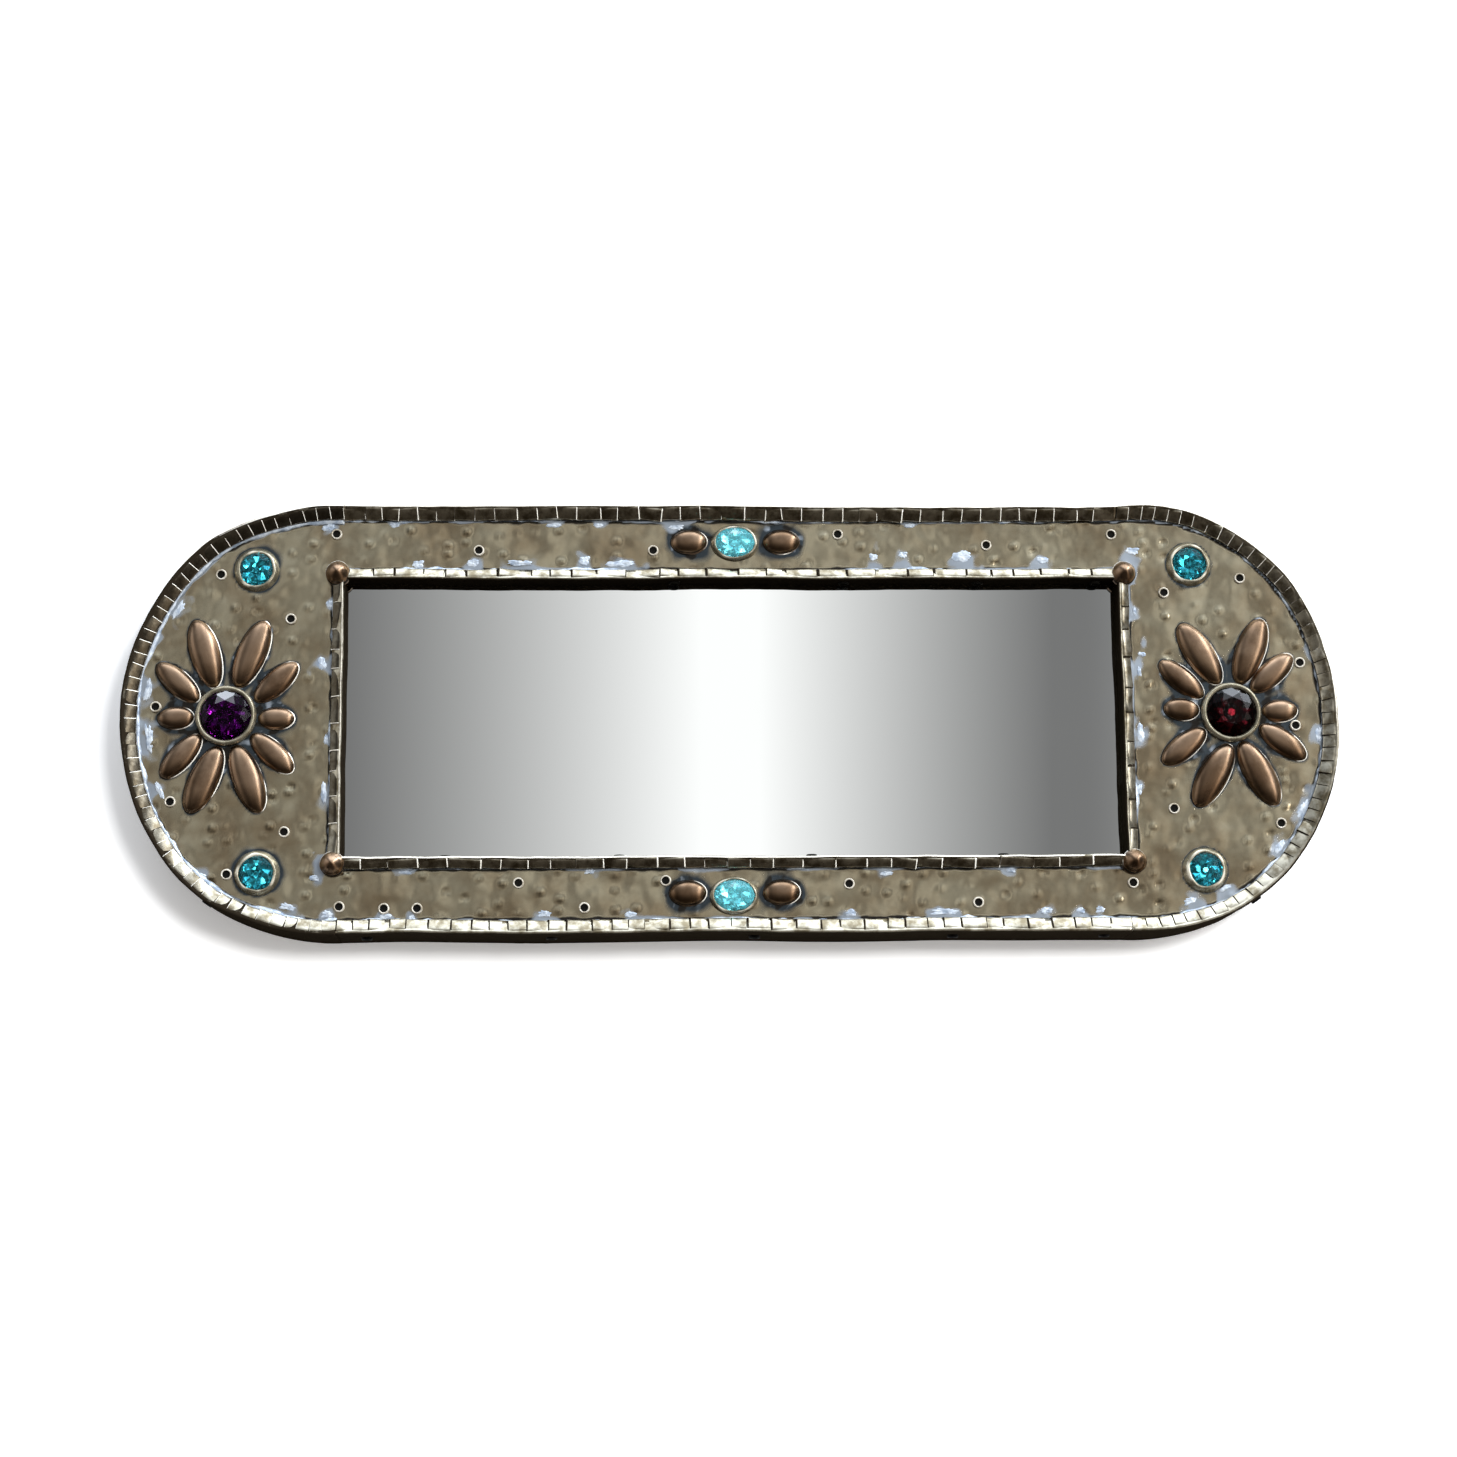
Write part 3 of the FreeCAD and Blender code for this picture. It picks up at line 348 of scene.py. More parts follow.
@dataclass(frozen=True)
class Timber:
    """Wood or pressed board, with grain drawn out along X.

    Attributes:
        name: material name.
        pale: colour of the early wood or the board.
        dark: colour of the grain lines or the fibres.
        grain_mm: distance between grain lines.
        stretch: how much longer the grain is than wide.
    """

    name: str
    pale: str
    dark: str
    grain_mm: float
    stretch: float

    @cache
    def build(self) -> Material:
        """Make the material: soft grain in the colour, and a dry surface.

        Returns:
            The material, made once.
        """
        material, tree = new_material(self.name)
        grain = mottle(tree, self.grain_mm, 6.0, self.stretch, Roughness=0.6, Distortion=0.4)
        colour = blend(tree, remap(tree, grain, 0.35, 0.65), linear(self.pale), linear(self.dark))
        relief = add_node(tree, "ShaderNodeBump", {"Height": grain, "Strength": 0.4, "Distance": 0.15 * MM})
        close_material(tree, {"Base Color": colour, "Roughness": 0.68, "Normal": relief.outputs[0]})
        return material


# Solder that ran out round the copper, a grey skin, half matt; it also carries painted shade round the corner
# stones and beside the oval stones.
POOL = Film("pool", "#3b4247", (0.28, 0.95), 0.34, 0.8)
# Burnt flux, near black, in the corners; it also carries painted shade along the seams, round the copper's
# feet and on the far side of the solder lines.
FLUX = Film("flux", "#191714", (0.42, 0.85), 0.60, 0.1)
# Solder wiped along the seams: pale blue-grey and matt.
SMEAR = Film("solder", "#9aa3ad", (0.42, 0.86), 0.34, 0.7)
# Soot and painted shade, black and dry: on the walls, darker where they face down or away from the light, and
# painted shadow in the snips between the tabs.
GRIME = Film("grime", "#241f18", (0.35, 0.75), 0.80, 0.0)
# Brown tarnish on the walls, and painted shade on the tabs of the left-hand strips: still metal, but dark.
TARNISH = Film("tarnish", "#413a2f", (0.30, 0.95), 0.22, 0.95)
# Cut edges, and painted highlights on ridges, solder lines and cone feet that face the light, in a chalky
# white.
RUBBED = Film("wear", "#fbf8ee", (0.62, 0.95), 0.36, 0.25)
# Lips of the settings, burnished by the pusher.
BURNISHED = Film("wear", "#e2dccb", (0.55, 1.05), 0.24, 0.5)
# The cup inside a nail's ring, painted near black, and painted shade on the nails of the walls.
NAIL_CUP = Film("cup", "#0b0a08", (0.40, 0.62), 0.80, 0.0)

# Hammered sheet brass, aged to olive: satin, so each dimple shows as a soft light and dark spot.
HAMMERED_BRASS = WornMetal("hammered_brass", "#b3aa91", "#998a70", 0.20, 34.0, 3.0, 0.003,
                           films=(POOL, FLUX, SMEAR))
# Folded brass strip, tinned by the work: pale and grey, browner where tarnished, darker under soot and
# painted shade.
FOLDED_BRASS = WornMetal("folded_brass", "#c8c2b0", "#7a705b", 0.30, 7.0,
                         films=(TARNISH, GRIME, RUBBED), gloss=0.0)
# Pressed copper, waxed and brown: smooth, so it carries long soft highlights.
SATIN_COPPER = WornMetal("satin_copper", "#998069", "#725b46", 0.30, 20.0, 3.0, 0.001, films=(FLUX, RUBBED))
# Thin brass of the settings, pushed over the stones by hand and worn bright on the lip.
BEZEL_BRASS = WornMetal("bezel_brass", "#aaa38e", "#7d7663", 0.28, 7.0, metal=0.8, films=(BURNISHED,))
# Nail brass: bright on the ring, black in the cup.
NAIL_BRASS = WornMetal("nail_brass", "#d6d1c5", "#988f7e", 0.30, 4.0, 1.0, 0.02, 0.3, (NAIL_CUP,))
# Tin and lead solder: pale blue-grey, frozen in lumps with a half matt skin.
TIN_SOLDER = WornMetal("tin_solder", "#ccd5de", "#8c9aac", 0.36, 4.0, 1.0, 0.06, 0.4)
# Zinc plate on steel: cool, with a faint spangle.
ZINC_STEEL = WornMetal("zinc_plated_steel", "#b9bcbf", "#9da1a5", 0.32, 6.0, 0.9, 0.02)

# Pressed glass over foil: dark, with a painted highlight in a brighter glass on the upper facets.
AQUA_GLASS = FoiledGlass("aqua_glass", "#38acbe", "#f2f8f8", clear=0.97)
PALE_AQUA_GLASS = FoiledGlass("pale_aqua_glass", "#80ebf8", "#ffffff", clear=0.80)
PURPLE_GLASS = FoiledGlass("purple_glass", "#4c0e56", "#b498b4", shine=0.7)
GARNET_GLASS = FoiledGlass("garnet_glass", "#3c0d15", "#8c6c6c", shine=0.12)
MIRROR = SilveredGlass()
# Planed pine, dry and pale, and pressed brown fibreboard.
PINE = Timber("planed_pine", "#c89f68", "#9c7140", 3.0, 14.0)
HARDBOARD = Timber("pressed_hardboard", "#7a5638", "#573a24", 1.8, 2.5)


@dataclass(frozen=True)
class Box:
    """Lowest and highest corner of something, in millimetres."""

    low: Points
    high: Points

    @classmethod
    def of(cls, node: str) -> "Box":
        """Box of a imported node."""
        low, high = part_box(node)
        return cls(np.array(low) / MM, np.array(high) / MM)

    @classmethod
    def around(cls, points: Points) -> "Box":
        """Box of a set of points."""
        return cls(points.min(0), points.max(0))

    @property
    def centre(self) -> Points:
        """Its middle."""
        return (self.low + self.high) / 2

    @property
    def half(self) -> Points:
        """Half its size."""
        return (self.high - self.low) / 2


def mesh_points(mesh: Mesh) -> Points:
    """Read the vertices of a mesh.

    Args:
        mesh: the mesh.

    Returns:
        The points, in millimetres.
    """
    flat = np.empty(len(mesh.vertices) * 3)
    mesh.vertices.foreach_get("co", flat)
    return flat.reshape(-1, 3) / MM


def new_piece(name: str, points: Points, faces: Faces, finishes: Sequence[Material],
              smooth: bool = True) -> Object:
    """Make an object at the origin from points in millimetres.

    Args:
        name: object name.
        points: vertices.
        faces: vertex numbers of each face, wound to face outwards.
        finishes: its materials.
        smooth: whether it is shaded smooth.

    Returns:
        The object, linked to the scene.
    """
    mesh = bpy.data.meshes.new(name)
    mesh.from_pydata((np.asarray(points) * MM).tolist(), [], faces)
    mesh.polygons.foreach_set("use_smooth", [smooth] * len(mesh.polygons))
    for finish in finishes:
        mesh.materials.append(finish)
    mesh.update()
    piece = bpy.data.objects.new(name, mesh)
    bpy.context.scene.collection.objects.link(piece)
    return piece


def paint(piece: Object, **layers: Sequence[float] | Points) -> None:
    """Store numbers for each vertex, which the material reads by name.

    Args:
        piece: the object.
        layers: numbers by name, in the order of the vertices.
    """
    for name, values in layers.items():
        layer = piece.data.attributes.get(name) or piece.data.attributes.new(name, "FLOAT", "POINT")
        layer.data.foreach_set("value", np.asarray(values, dtype=np.float32).ravel())


def freeze(piece: Object) -> Object:
    """Turn an object's modifiers into a plain mesh, and remove them.

    Args:
        piece: the object.

    Returns:
        The same object.
    """
    depsgraph = bpy.context.evaluated_depsgraph_get()
    mesh = bpy.data.meshes.new_from_object(piece.evaluated_get(depsgraph))
    piece.modifiers.clear()
    piece.data = mesh
    return piece


def thicken(piece: Object, gauge: float) -> Object:
    """Give an open sheet its gauge, behind the face that shows.

    Args:
        piece: the sheet's object.
        gauge: its thickness.

    Returns:
        The same object, with a plain mesh.
    """
    solid = piece.modifiers.new("gauge", "SOLIDIFY")
    solid.thickness = gauge * MM
    solid.offset = -1.0
    return freeze(piece)


def join(name: str, pieces: Sequence[Object]) -> Object:
    """Join plain meshes under one name.

    Args:
        name: name of the whole.
        pieces: objects to join; the first one stays.

    Returns:
        The joined object.
    """
    keep = pieces[0]
    with bpy.context.temp_override(active_object=keep, selected_editable_objects=list(pieces)):
        bpy.ops.object.join()
    keep.name = name
    return keep


def install(piece: Object, slot: str, *nodes: str) -> None:
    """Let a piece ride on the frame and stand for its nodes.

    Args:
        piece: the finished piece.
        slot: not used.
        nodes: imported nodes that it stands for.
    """
    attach(piece, BODY)
    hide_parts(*nodes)
    log.info("%s: %d faces", piece.name, len(piece.data.polygons))


def lump(points: Points, size_mm: float, key: float = 0.0) -> Points:
    """Make smooth seeded noise.

    Args:
        points: places, in millimetres.
        size_mm: size of a lump.
        key: number that makes it its own.

    Returns:
        A value of about -1 to 1 at each place.
    """
    shift = Vector((key * 17.3, key * 5.1, key * 11.7))
    values = [noise.noise(Vector(point) / size_mm + shift) for point in points.reshape(-1, 3)]
    return np.array(values).reshape(points.shape[:-1])


def circle(sides: int) -> Points:
    """Directions of a ring's corners, in radians."""
    return np.arange(sides) * 2 * math.pi / sides


def lattice(rows: int, columns: int, wrap: bool = False, loop: bool = False) -> Faces:
    """Make quads between rows of points, which are numbered row by row.

    Args:
        rows: number of rows.
        columns: points in a row.
        wrap: whether the last column joins the first.
        loop: whether the last row joins the first.

    Returns:
        The faces.
    """
    faces = []
    for row in range(rows if loop else rows - 1):
        near, far = row * columns, (row + 1) % rows * columns
        for step in range(columns if wrap else columns - 1):
            after = (step + 1) % columns
            faces.append((near + step, near + after, far + after, far + step))
    return faces


def revolve(outline: Sequence[tuple[float, float]], sides: int) -> tuple[Points, Faces]:
    """Turn an outline about Z.

    Args:
        outline: (radius, height) from the foot outwards and up to the middle, which may have radius 0.
        sides: divisions of the circle.

    Returns:
        Points and faces, facing outwards.
    """
    turns = circle(sides)
    rings = [np.stack([r * np.cos(turns), r * np.sin(turns), np.full(sides, h)], 1) for r, h in outline]
    return np.concatenate(rings), lattice(len(outline), sides, wrap=True)


def islands(node: str) -> list[Points]:
    """Split a grouped node into its separate solids, by the triangles that share a point.

    Args:
        node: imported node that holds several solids.

    Returns:
        The points of each solid.
    """
    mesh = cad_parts[node].data
    points, labels = np.unique(np.round(mesh_points(mesh), 3), axis=0, return_inverse=True)
    corners = labels.ravel()[np.array([tuple(face.vertices) for face in mesh.polygons])]
    owner = np.arange(len(points))
    while True:
        before = owner.copy()
        np.minimum.at(owner, corners.ravel(), np.repeat(owner[corners].min(1), 3))
        if np.array_equal(before, owner):
            return [points[owner == one] for one in np.unique(owner)]


class NodeGroup:
    """A Geometry Nodes tree with named inputs, applied to an object and frozen."""

    def __init__(self, name: str, sockets: dict[str, str]) -> None:
        """Start the tree.

        Args:
            name: tree name.
            sockets: input names to socket types.
        """
        self.tree = bpy.data.node_groups.new(name, "GeometryNodeTree")
        self.tree.interface.new_socket("Geometry", in_out="INPUT", socket_type="NodeSocketGeometry")
        self.names: dict[str, str] = {}
        for label, kind in sockets.items():
            socket = self.tree.interface.new_socket(label, in_out="INPUT", socket_type=kind)
            self.names[label] = socket.identifier
        self.tree.interface.new_socket("Geometry", in_out="OUTPUT", socket_type="NodeSocketGeometry")
        self.given = add_node(self.tree, "NodeGroupInput").outputs

    def close(self, geometry: NodeSocket) -> None:
        """End the tree: realise what was instanced and give it the Finish.

        Args:
            geometry: what the tree made.
        """
        real = add_node(self.tree, "GeometryNodeRealizeInstances", {"Geometry": geometry})
        dressed = add_node(self.tree, "GeometryNodeSetMaterial", {
            "Geometry": real.outputs[0], "Material": self.given["Finish"]})
        add_node(self.tree, "NodeGroupOutput", {0: dressed.outputs[0]})

    def apply(self, piece: Object, values: dict[str, Any]) -> Object:
        """Run the tree on an object and keep the result as a plain mesh.

        Args:
            piece: object whose mesh goes in.
            values: input values by name.

        Returns:
            The same object, with its new mesh.
        """
        modifier = piece.modifiers.new(self.tree.name, "NODES")
        modifier.node_group = self.tree
        for label, value in values.items():
            modifier[self.names[label]] = value
        return freeze(piece)


@dataclass
class Spot:
    """Where one copy of a pattern goes.

    Attributes:
        place: point in millimetres.
        up: direction of the pattern's Z.
        side: direction that the pattern's X leans to.
        stretch: scale along the pattern's axes.
    """

    place: Sequence[float]
    up: Sequence[float]
    side: Sequence[float] = (1.0, 0.0, 0.0)
    stretch: Sequence[float] = (1.0, 1.0, 1.0)

    def euler(self) -> tuple[float, float, float]:
        """Turn the pattern's axes to this spot's.

        Returns:
            Euler angles, in radians.
        """
        up = Vector(self.up).normalized()
        across = up.cross(Vector(self.side)).normalized()
        side = across.cross(up).normalized()
        return tuple(Matrix((side, across, up)).transposed().to_euler())


class Scatter(NodeGroup):
    """Copies of a pattern on points, turned and stretched by the points' attributes."""

    def __init__(self) -> None:
        """Build the tree: instance on points, then realise."""
        super().__init__("scattered_pattern", {"Pattern": "NodeSocketObject", "Finish": "NodeSocketMaterial"})
        tree = self.tree
        pattern = add_node(tree, "GeometryNodeObjectInfo", {"Object": self.given["Pattern"]})
        turn, stretch = (add_node(tree, "GeometryNodeInputNamedAttribute", {"Name": label},
                                  data_type="FLOAT_VECTOR").outputs[0] for label in ("turn", "stretch"))
        turned = add_node(tree, "FunctionNodeEulerToRotation", {0: turn})
        copies = add_node(tree, "GeometryNodeInstanceOnPoints", {
            "Points": self.given["Geometry"], "Instance": pattern.outputs["Geometry"],
            "Rotation": turned.outputs[0], "Scale": stretch})
        self.close(copies.outputs[0])

    def spread(self, name: str, pattern: Object, finish: Material, spots: Sequence[Spot]) -> Object:
        """Place one copy of a pattern at each spot.

        Args:
            name: name of the new object.
            pattern: object with the pattern's mesh, removed by the caller.
            finish: material of the copies.
            spots: where they go.

        Returns:
            One plain mesh object.
        """
        piece = new_piece(name, [spot.place for spot in spots], [], [finish])
        layers = {"turn": [spot.euler() for spot in spots], "stretch": [spot.stretch for spot in spots]}
        for label, values in layers.items():
            layer = piece.data.attributes.new(label, "FLOAT_VECTOR", "POINT")
            layer.data.foreach_set("vector", np.asarray(values, dtype=np.float32).ravel())
        return self.apply(piece, {"Pattern": pattern, "Finish": finish})


@dataclass(frozen=True)
class FrameSizes:
    """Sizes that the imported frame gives.

    Attributes:
        straight_half: half the length of the straight sides.
        end_radius: radius of the round ends.
        crest: depth of the outer edge's crest.
        foot_radius: radius of the foot of the outer edge's flange.
        plate_front: depth of the sheet's front.
        window_right: place of the window's right edge.
        window_top: height of the window's upper edge.
        window_crest: depth of the window edge's crest.
        window_flange: width of the window edge's flange.
        window_back: depth of the window wall's rear edge.
    """

    straight_half: float
    end_radius: float
    crest: float
    foot_radius: float
    plate_front: float
    window_right: float
    window_top: float
    window_crest: float
    window_flange: float
    window_back: float

    @classmethod
    def read(cls) -> "FrameSizes":
        """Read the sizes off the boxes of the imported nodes.

        Returns:
            The sizes.
        """
        edge, plate = Box.of("edge_strip_top"), Box.of("face_plate")
        top, right = Box.of("window_strip_top"), Box.of("window_strip_right")
        return cls(straight_half=edge.high[0], end_radius=edge.high[2], crest=-edge.low[1],
                   foot_radius=edge.low[2], plate_front=-plate.low[1], window_right=right.low[0],
                   window_top=top.low[2], window_crest=-top.low[1],
                   window_flange=top.high[2] - top.low[2], window_back=-top.high[1])


# How far the hand-bent outer edge stands beyond a round end, by direction from the end's middle in degrees.
BULGE = ((-162, 1.2), (-144, 3.0), (-126, 4.0), (-108, 2.5), (-90, 1.2), (-63, 4.5), (-45, 4.0), (-27, 2.0),
         (0, 0.2), (18, 1.2), (40, 4.2), (54, 5.2), (72, 4.4), (90, 1.2), (108, 2.2), (126, 4.2), (144, 2.6),
         (162, 1.4), (180, 0.6))


def bulge(plan: Points, straight_half: float) -> Points:
    """How far the outer edge stands out in the direction of each place.

    Args:
        plan: places on the face, as (x, z).
        straight_half: half the length of the straight sides.

    Returns:
        Millimetres outwards.
    """
    beyond = np.sign(plan[..., 0]) * np.maximum(np.abs(plan[..., 0]) - straight_half, 0)
    turns, reach = zip(*BULGE)
    return np.interp(np.degrees(np.arctan2(plan[..., 1], beyond)), turns, reach, period=360)


@dataclass(frozen=True)
class Run:
    """The line of one strip, walked anticlockwise as the viewer sees it.

    Attributes:
        node: the strip's node.
        start: first point of a straight, or the centre of a bend, as (x, z).
        heading: outward direction at the start, in degrees.
        length: length of the run.
        bend: radius of a bend, 0 for a straight.
    """

    node: str
    start: tuple[float, float]
    heading: float
    length: float
    bend: float = 0.0

    def at(self, walked: Points | float, out: Points | float, depth: Points | float) -> Points:
        """Points of a strip.

        Args:
            walked: distances along the run.
            out: distances outwards from it.
            depth: distances in front of the wall.

        Returns:
            The points.
        """
        walked, out, depth = np.broadcast_arrays(*(np.asarray(v, dtype=float) for v in (walked, out, depth)))
        outward = self.outward(walked)
        if self.bend:
            flat = np.array(self.start) + outward * (self.bend + out)[..., None]
        else:
            along = np.stack([-outward[..., 1], outward[..., 0]], -1)
            flat = np.array(self.start) + along * walked[..., None] + outward * out[..., None]
        return np.stack([flat[..., 0], -depth, flat[..., 1]], -1)

    def outward(self, walked: Points | float) -> Points:
        """Find the outward direction along the run.

        Args:
            walked: distances along the run.

        Returns:
            Directions, as (x, z).
        """
        turned = np.asarray(walked) / self.bend if self.bend else np.zeros_like(walked)
        turn = math.radians(self.heading) + turned
        return np.stack([np.cos(turn), np.sin(turn)], -1)


def edge_runs(sizes: FrameSizes) -> list[Run]:
    """List the strips of the outer edge: right end, top, left end, bottom.

    Args:
        sizes: sizes of the frame.

    Returns:
        Their lines.
    """
    half, radius = sizes.straight_half, sizes.end_radius
    bend = math.pi * radius
    return [Run("edge_strip_right", (half, 0.0), -90.0, bend, radius),
            Run("edge_strip_top", (half, radius), 90.0, 2 * half),
            Run("edge_strip_left", (-half, 0.0), 90.0, bend, radius),
            Run("edge_strip_bottom", (-half, -radius), -90.0, 2 * half)]


def window_runs(sizes: FrameSizes) -> list[Run]:
    """List the strips of the window's edge: right, top, left, bottom.

    Args:
        sizes: sizes of the frame.

    Returns:
        Their lines.
    """
    right, top = sizes.window_right, sizes.window_top
    return [Run("window_strip_right", (right, -top), 0.0, 2 * top),
            Run("window_strip_top", (right, top), 90.0, 2 * right),
            Run("window_strip_left", (-right, top), 180.0, 2 * top),
            Run("window_strip_bottom", (-right, -top), 270.0, 2 * right)]


# Painted shade on the tabs of the left-hand strips, which face away from the light.
DIRT = {"edge_strip_left": 0.72, "window_strip_left": 0.70}
# How it fades from the top of the frame down: lowest place, share.
BANDS = ((35.0, 1.0), (-50.0, 1.0), (-70.0, 0.75), (-90.0, 0.50), (-999.0, 0.25))
# Height below which a strip's snips are painted dark, a painted shadow in the gaps; elsewhere the cut edges
# are painted bright, rubbed metal with a painted highlight.
DARK_SNIPS = {"edge_strip_right": 35.0, "edge_strip_bottom": 999.0, "window_strip_right": 999.0,
              "window_strip_top": 999.0}
# Rows of a strip's section: shares of its wall, turns over its crest in degrees, shares of its flange.
WALL_ROWS = (0, 0.03, 0.2, 0.4, 0.6, 0.8, 0.94, 1)
CREST_ROWS = (20, 40, 60, 75, 90, 105, 120)
FLANGE_ROWS = (0.3, 0.65, 1)
# Points of a tab: across a unit width, and along it from foot to crest.
TAB_ACROSS = (-0.5, -0.485, -0.45, -0.2, 0.0, 0.2, 0.40, 0.445, 0.47, 0.5)
TAB_ALONG = (0.0, 0.05, 0.14, 0.5, 0.8, 0.92, 1.0)
# Dents in a strip's sheet: size, key and height.
DENTS = ((16.0, 1, 0.35), (5.0, 2, 0.12))


@dataclass
class SnippedStrips:
    """Folded strips round an edge: a wall, a rounded crest and a flange of snipped tabs.

    Attributes:
        runs: the strips' lines.
        back: depth of the wall's rear edge.
        crest: depth of the crest.
        foot: depth of the flange's foot.
        reach: how far the flange runs from the wall, negative towards the middle of the frame.
        tab_widths: smallest and largest tab on straights, then on bends.
        wander: how far the hand-bent line strays.
        seed: seed of the snips.
        fold: radius of the crest.
        straight_half: half the length of the straights between bulging ends, 0 where nothing bulges.
        gauge: thickness of the sheet.
        tab_gauge: thickness of a tab.
        step: spacing of the mesh along the run.
        lap: how far a tab's cut edge is raised over the next tab.
        tab_bow: how far a tab bows out in its middle.
        tab_curl: how far a tab's upper end curls down over the crest.
        tab_hem: how far a tab's edges are turned down.
        tab_turn: where the tabs end on the crest, in degrees from the wall.
        tab_lift: how far a tab's foot lies in front of the flange's.
        tab_tilt: how far a tab leans and twists.
        tab_spread: smallest and largest width of a tab beside its share of the run.
        tab_shift: how far a tab lies off its place.
        tab_stretch: smallest and largest length of a tab beside the flange's.
        slack: how far the sheet can move towards the wood behind it.
        rng: seeded draws.
    """

    runs: Sequence[Run]
    back: float
    crest: float
    foot: float
    reach: float
    tab_widths: tuple[float, float, float, float]
    wander: float
    seed: Seed
    fold: float = 1.3
    straight_half: float = 0.0
    gauge: float = 0.8
    tab_gauge: float = 0.4
    step: float = 2.0
    lap: float = 0.45
    tab_bow: float = 0.2
    tab_curl: float = 0.45
    tab_hem: float = 0.2
    tab_turn: float = 104.0
    tab_lift: float = 0.3
    tab_tilt: float = 0.05
    tab_spread: tuple[float, float] = (1.0, 1.06)
    tab_shift: float = 0.1
    tab_stretch: tuple[float, float] = (0.95, 1.02)
    slack: float = 0.25
    rng: np.random.Generator = field(init=False)

    def __post_init__(self) -> None:
        """Start the seeded draws."""
        self.rng = np.random.default_rng(self.seed.value)

    @property
    def free(self) -> float:
        """Side that is free of wood: 1 outwards, -1 towards the window."""
        return -math.copysign(1.0, self.reach)

    def off_wood(self, shift: Points) -> Points:
        """Limit outward shifts, so that none pushes the sheet into the wood."""
        return self.free * np.maximum(self.free * shift, -self.slack)

    def stray(self, run: Run, walked: Points) -> Points:
        """How far a hand-bent strip wanders off its line.

        Args:
            run: the strip's line.
            walked: distances along it.

        Returns:
            Millimetres outwards, for each distance.
        """
        places = run.at(np.atleast_1d(walked), 0.0, 0.0)
        wander = self.wander * lump(places, 60.0, self.seed.value)
        if self.straight_half:
            wander = wander + bulge(places[:, (0, 2)], self.straight_half)
        return self.off_wood(wander).reshape(np.shape(walked))

    def fold_at(self, degrees: float) -> tuple[float, float]:
        """Find a point of the rounded crest.

        Args:
            degrees: its angle from the wall.

        Returns:
            The point, as (out, depth).
        """
        turn = math.radians(degrees)
        side = math.copysign(self.fold, self.reach)
        return side * (1 - math.cos(turn)), self.crest - self.fold + self.fold * math.sin(turn)

    def profile(self) -> list[tuple[float, float]]:
        """Lay out the section from the rear edge over the crest to the foot.

        Returns:
            Its points, as (out, depth).
        """
        root = self.crest - self.fold
        wall = [(0.0, self.back + (root - self.back) * share) for share in WALL_ROWS]
        crest = [self.fold_at(turn) for turn in CREST_ROWS]
        out, depth = crest[-1]
        flange = [(out + (self.reach - out) * share, depth + (self.foot - depth) * share)
                  for share in FLANGE_ROWS]
        return wall + crest + flange

    def wall_piece(self, run: Run) -> Object:
        """Make the continuous sheet of one strip: wall, crest and the flange under the tabs.

        Args:
            run: the strip's line.

        Returns:
            The sheet's object.
        """
        count = max(int(run.length / self.step), 2) + 1
        walked = np.linspace(0, run.length, count)
        out, depth = np.array(self.profile()).T
        points = run.at(walked[:, None], out + self.stray(run, walked)[:, None], depth)
        dents = sum(height * lump(points, size, key) for size, key, height in DENTS)
        outward = run.outward(walked)
        push = self.off_wood(dents) * (depth > self.back + 0.5)
        points[..., 0] += push * outward[:, None, 0]
        points[..., 2] += push * outward[:, None, 1]
        quads = lattice(count, len(depth))
        faces = [(a, d, c, b) if self.reach < 0 else (b, c, d, a) for a, b, c, d in quads]
        piece = new_piece(f"{run.node}_wall", points.reshape(-1, 3), faces, [FOLDED_BRASS.build()])
        self.age(piece, run, points, outward * self.free)
        return thicken(piece, self.gauge)

    def age(self, piece: Object, run: Run, points: Points, facing: Points) -> None:
        """Paint a highlight on the crest where it faces the light, painted shade where the strip faces down
        or away from the light, and soot and tarnish on the walls.

        Args:
            piece: the strip's sheet.
            run: its line.
            points: its points, by place along the run and by row of its section.
            facing: where its free side faces, by place along the run, as (x, z).
        """
        turn = np.array([0] * len(WALL_ROWS) + list(CREST_ROWS) + [180] * len(FLANGE_ROWS))
        wall, past_shoulder = turn == 0, turn >= 60
        ridge = past_shoulder & (turn <= 90)
        into_window = self.reach > 0
        lit = np.clip(0.6 * facing[:, :1] + facing[:, 1:], 0, 1)
        sideways = np.abs(facing[:, :1])
        down = np.clip(-facing[:, 1:], 0, 1)
        # Soot on the walls, deepened where they face down, or sideways into the window: painted shade. Crest
        # and flange are darkened where they face down or away from the light, and on the left-hand outer
        # strip: painted shade.
        soot = np.clip(0.92 + 0.35 * lump(points, 22.0, 11), 0.4, 1.0)
        hidden = 0.2 + 0.8 * down + 0.55 * sideways * into_window
        soot = soot * np.clip(hidden, 0, 0.8 if into_window else 1)
        dull = np.clip(1 - 1.6 * lit, 0, 1) * sideways * (~wall & (turn <= 75))
        dull = np.maximum(dull, down * (~wall & (turn <= 60)))
        aged = DIRT.get(run.node, 0.0) * np.clip(0.95 + 0.4 * lump(points, 9.0, 13), 0, 1)
        dull = np.maximum(dull, aged * past_shoulder * (not into_window))
        brown = np.clip(0.80 + 0.25 * lump(points, 30.0, 12), 0, 1)
        # The ridge is painted bright where it faces the light: a painted highlight.
        paint(piece, wear=lit * ridge, grime=soot * wall + dull, tarnish=brown * wall)

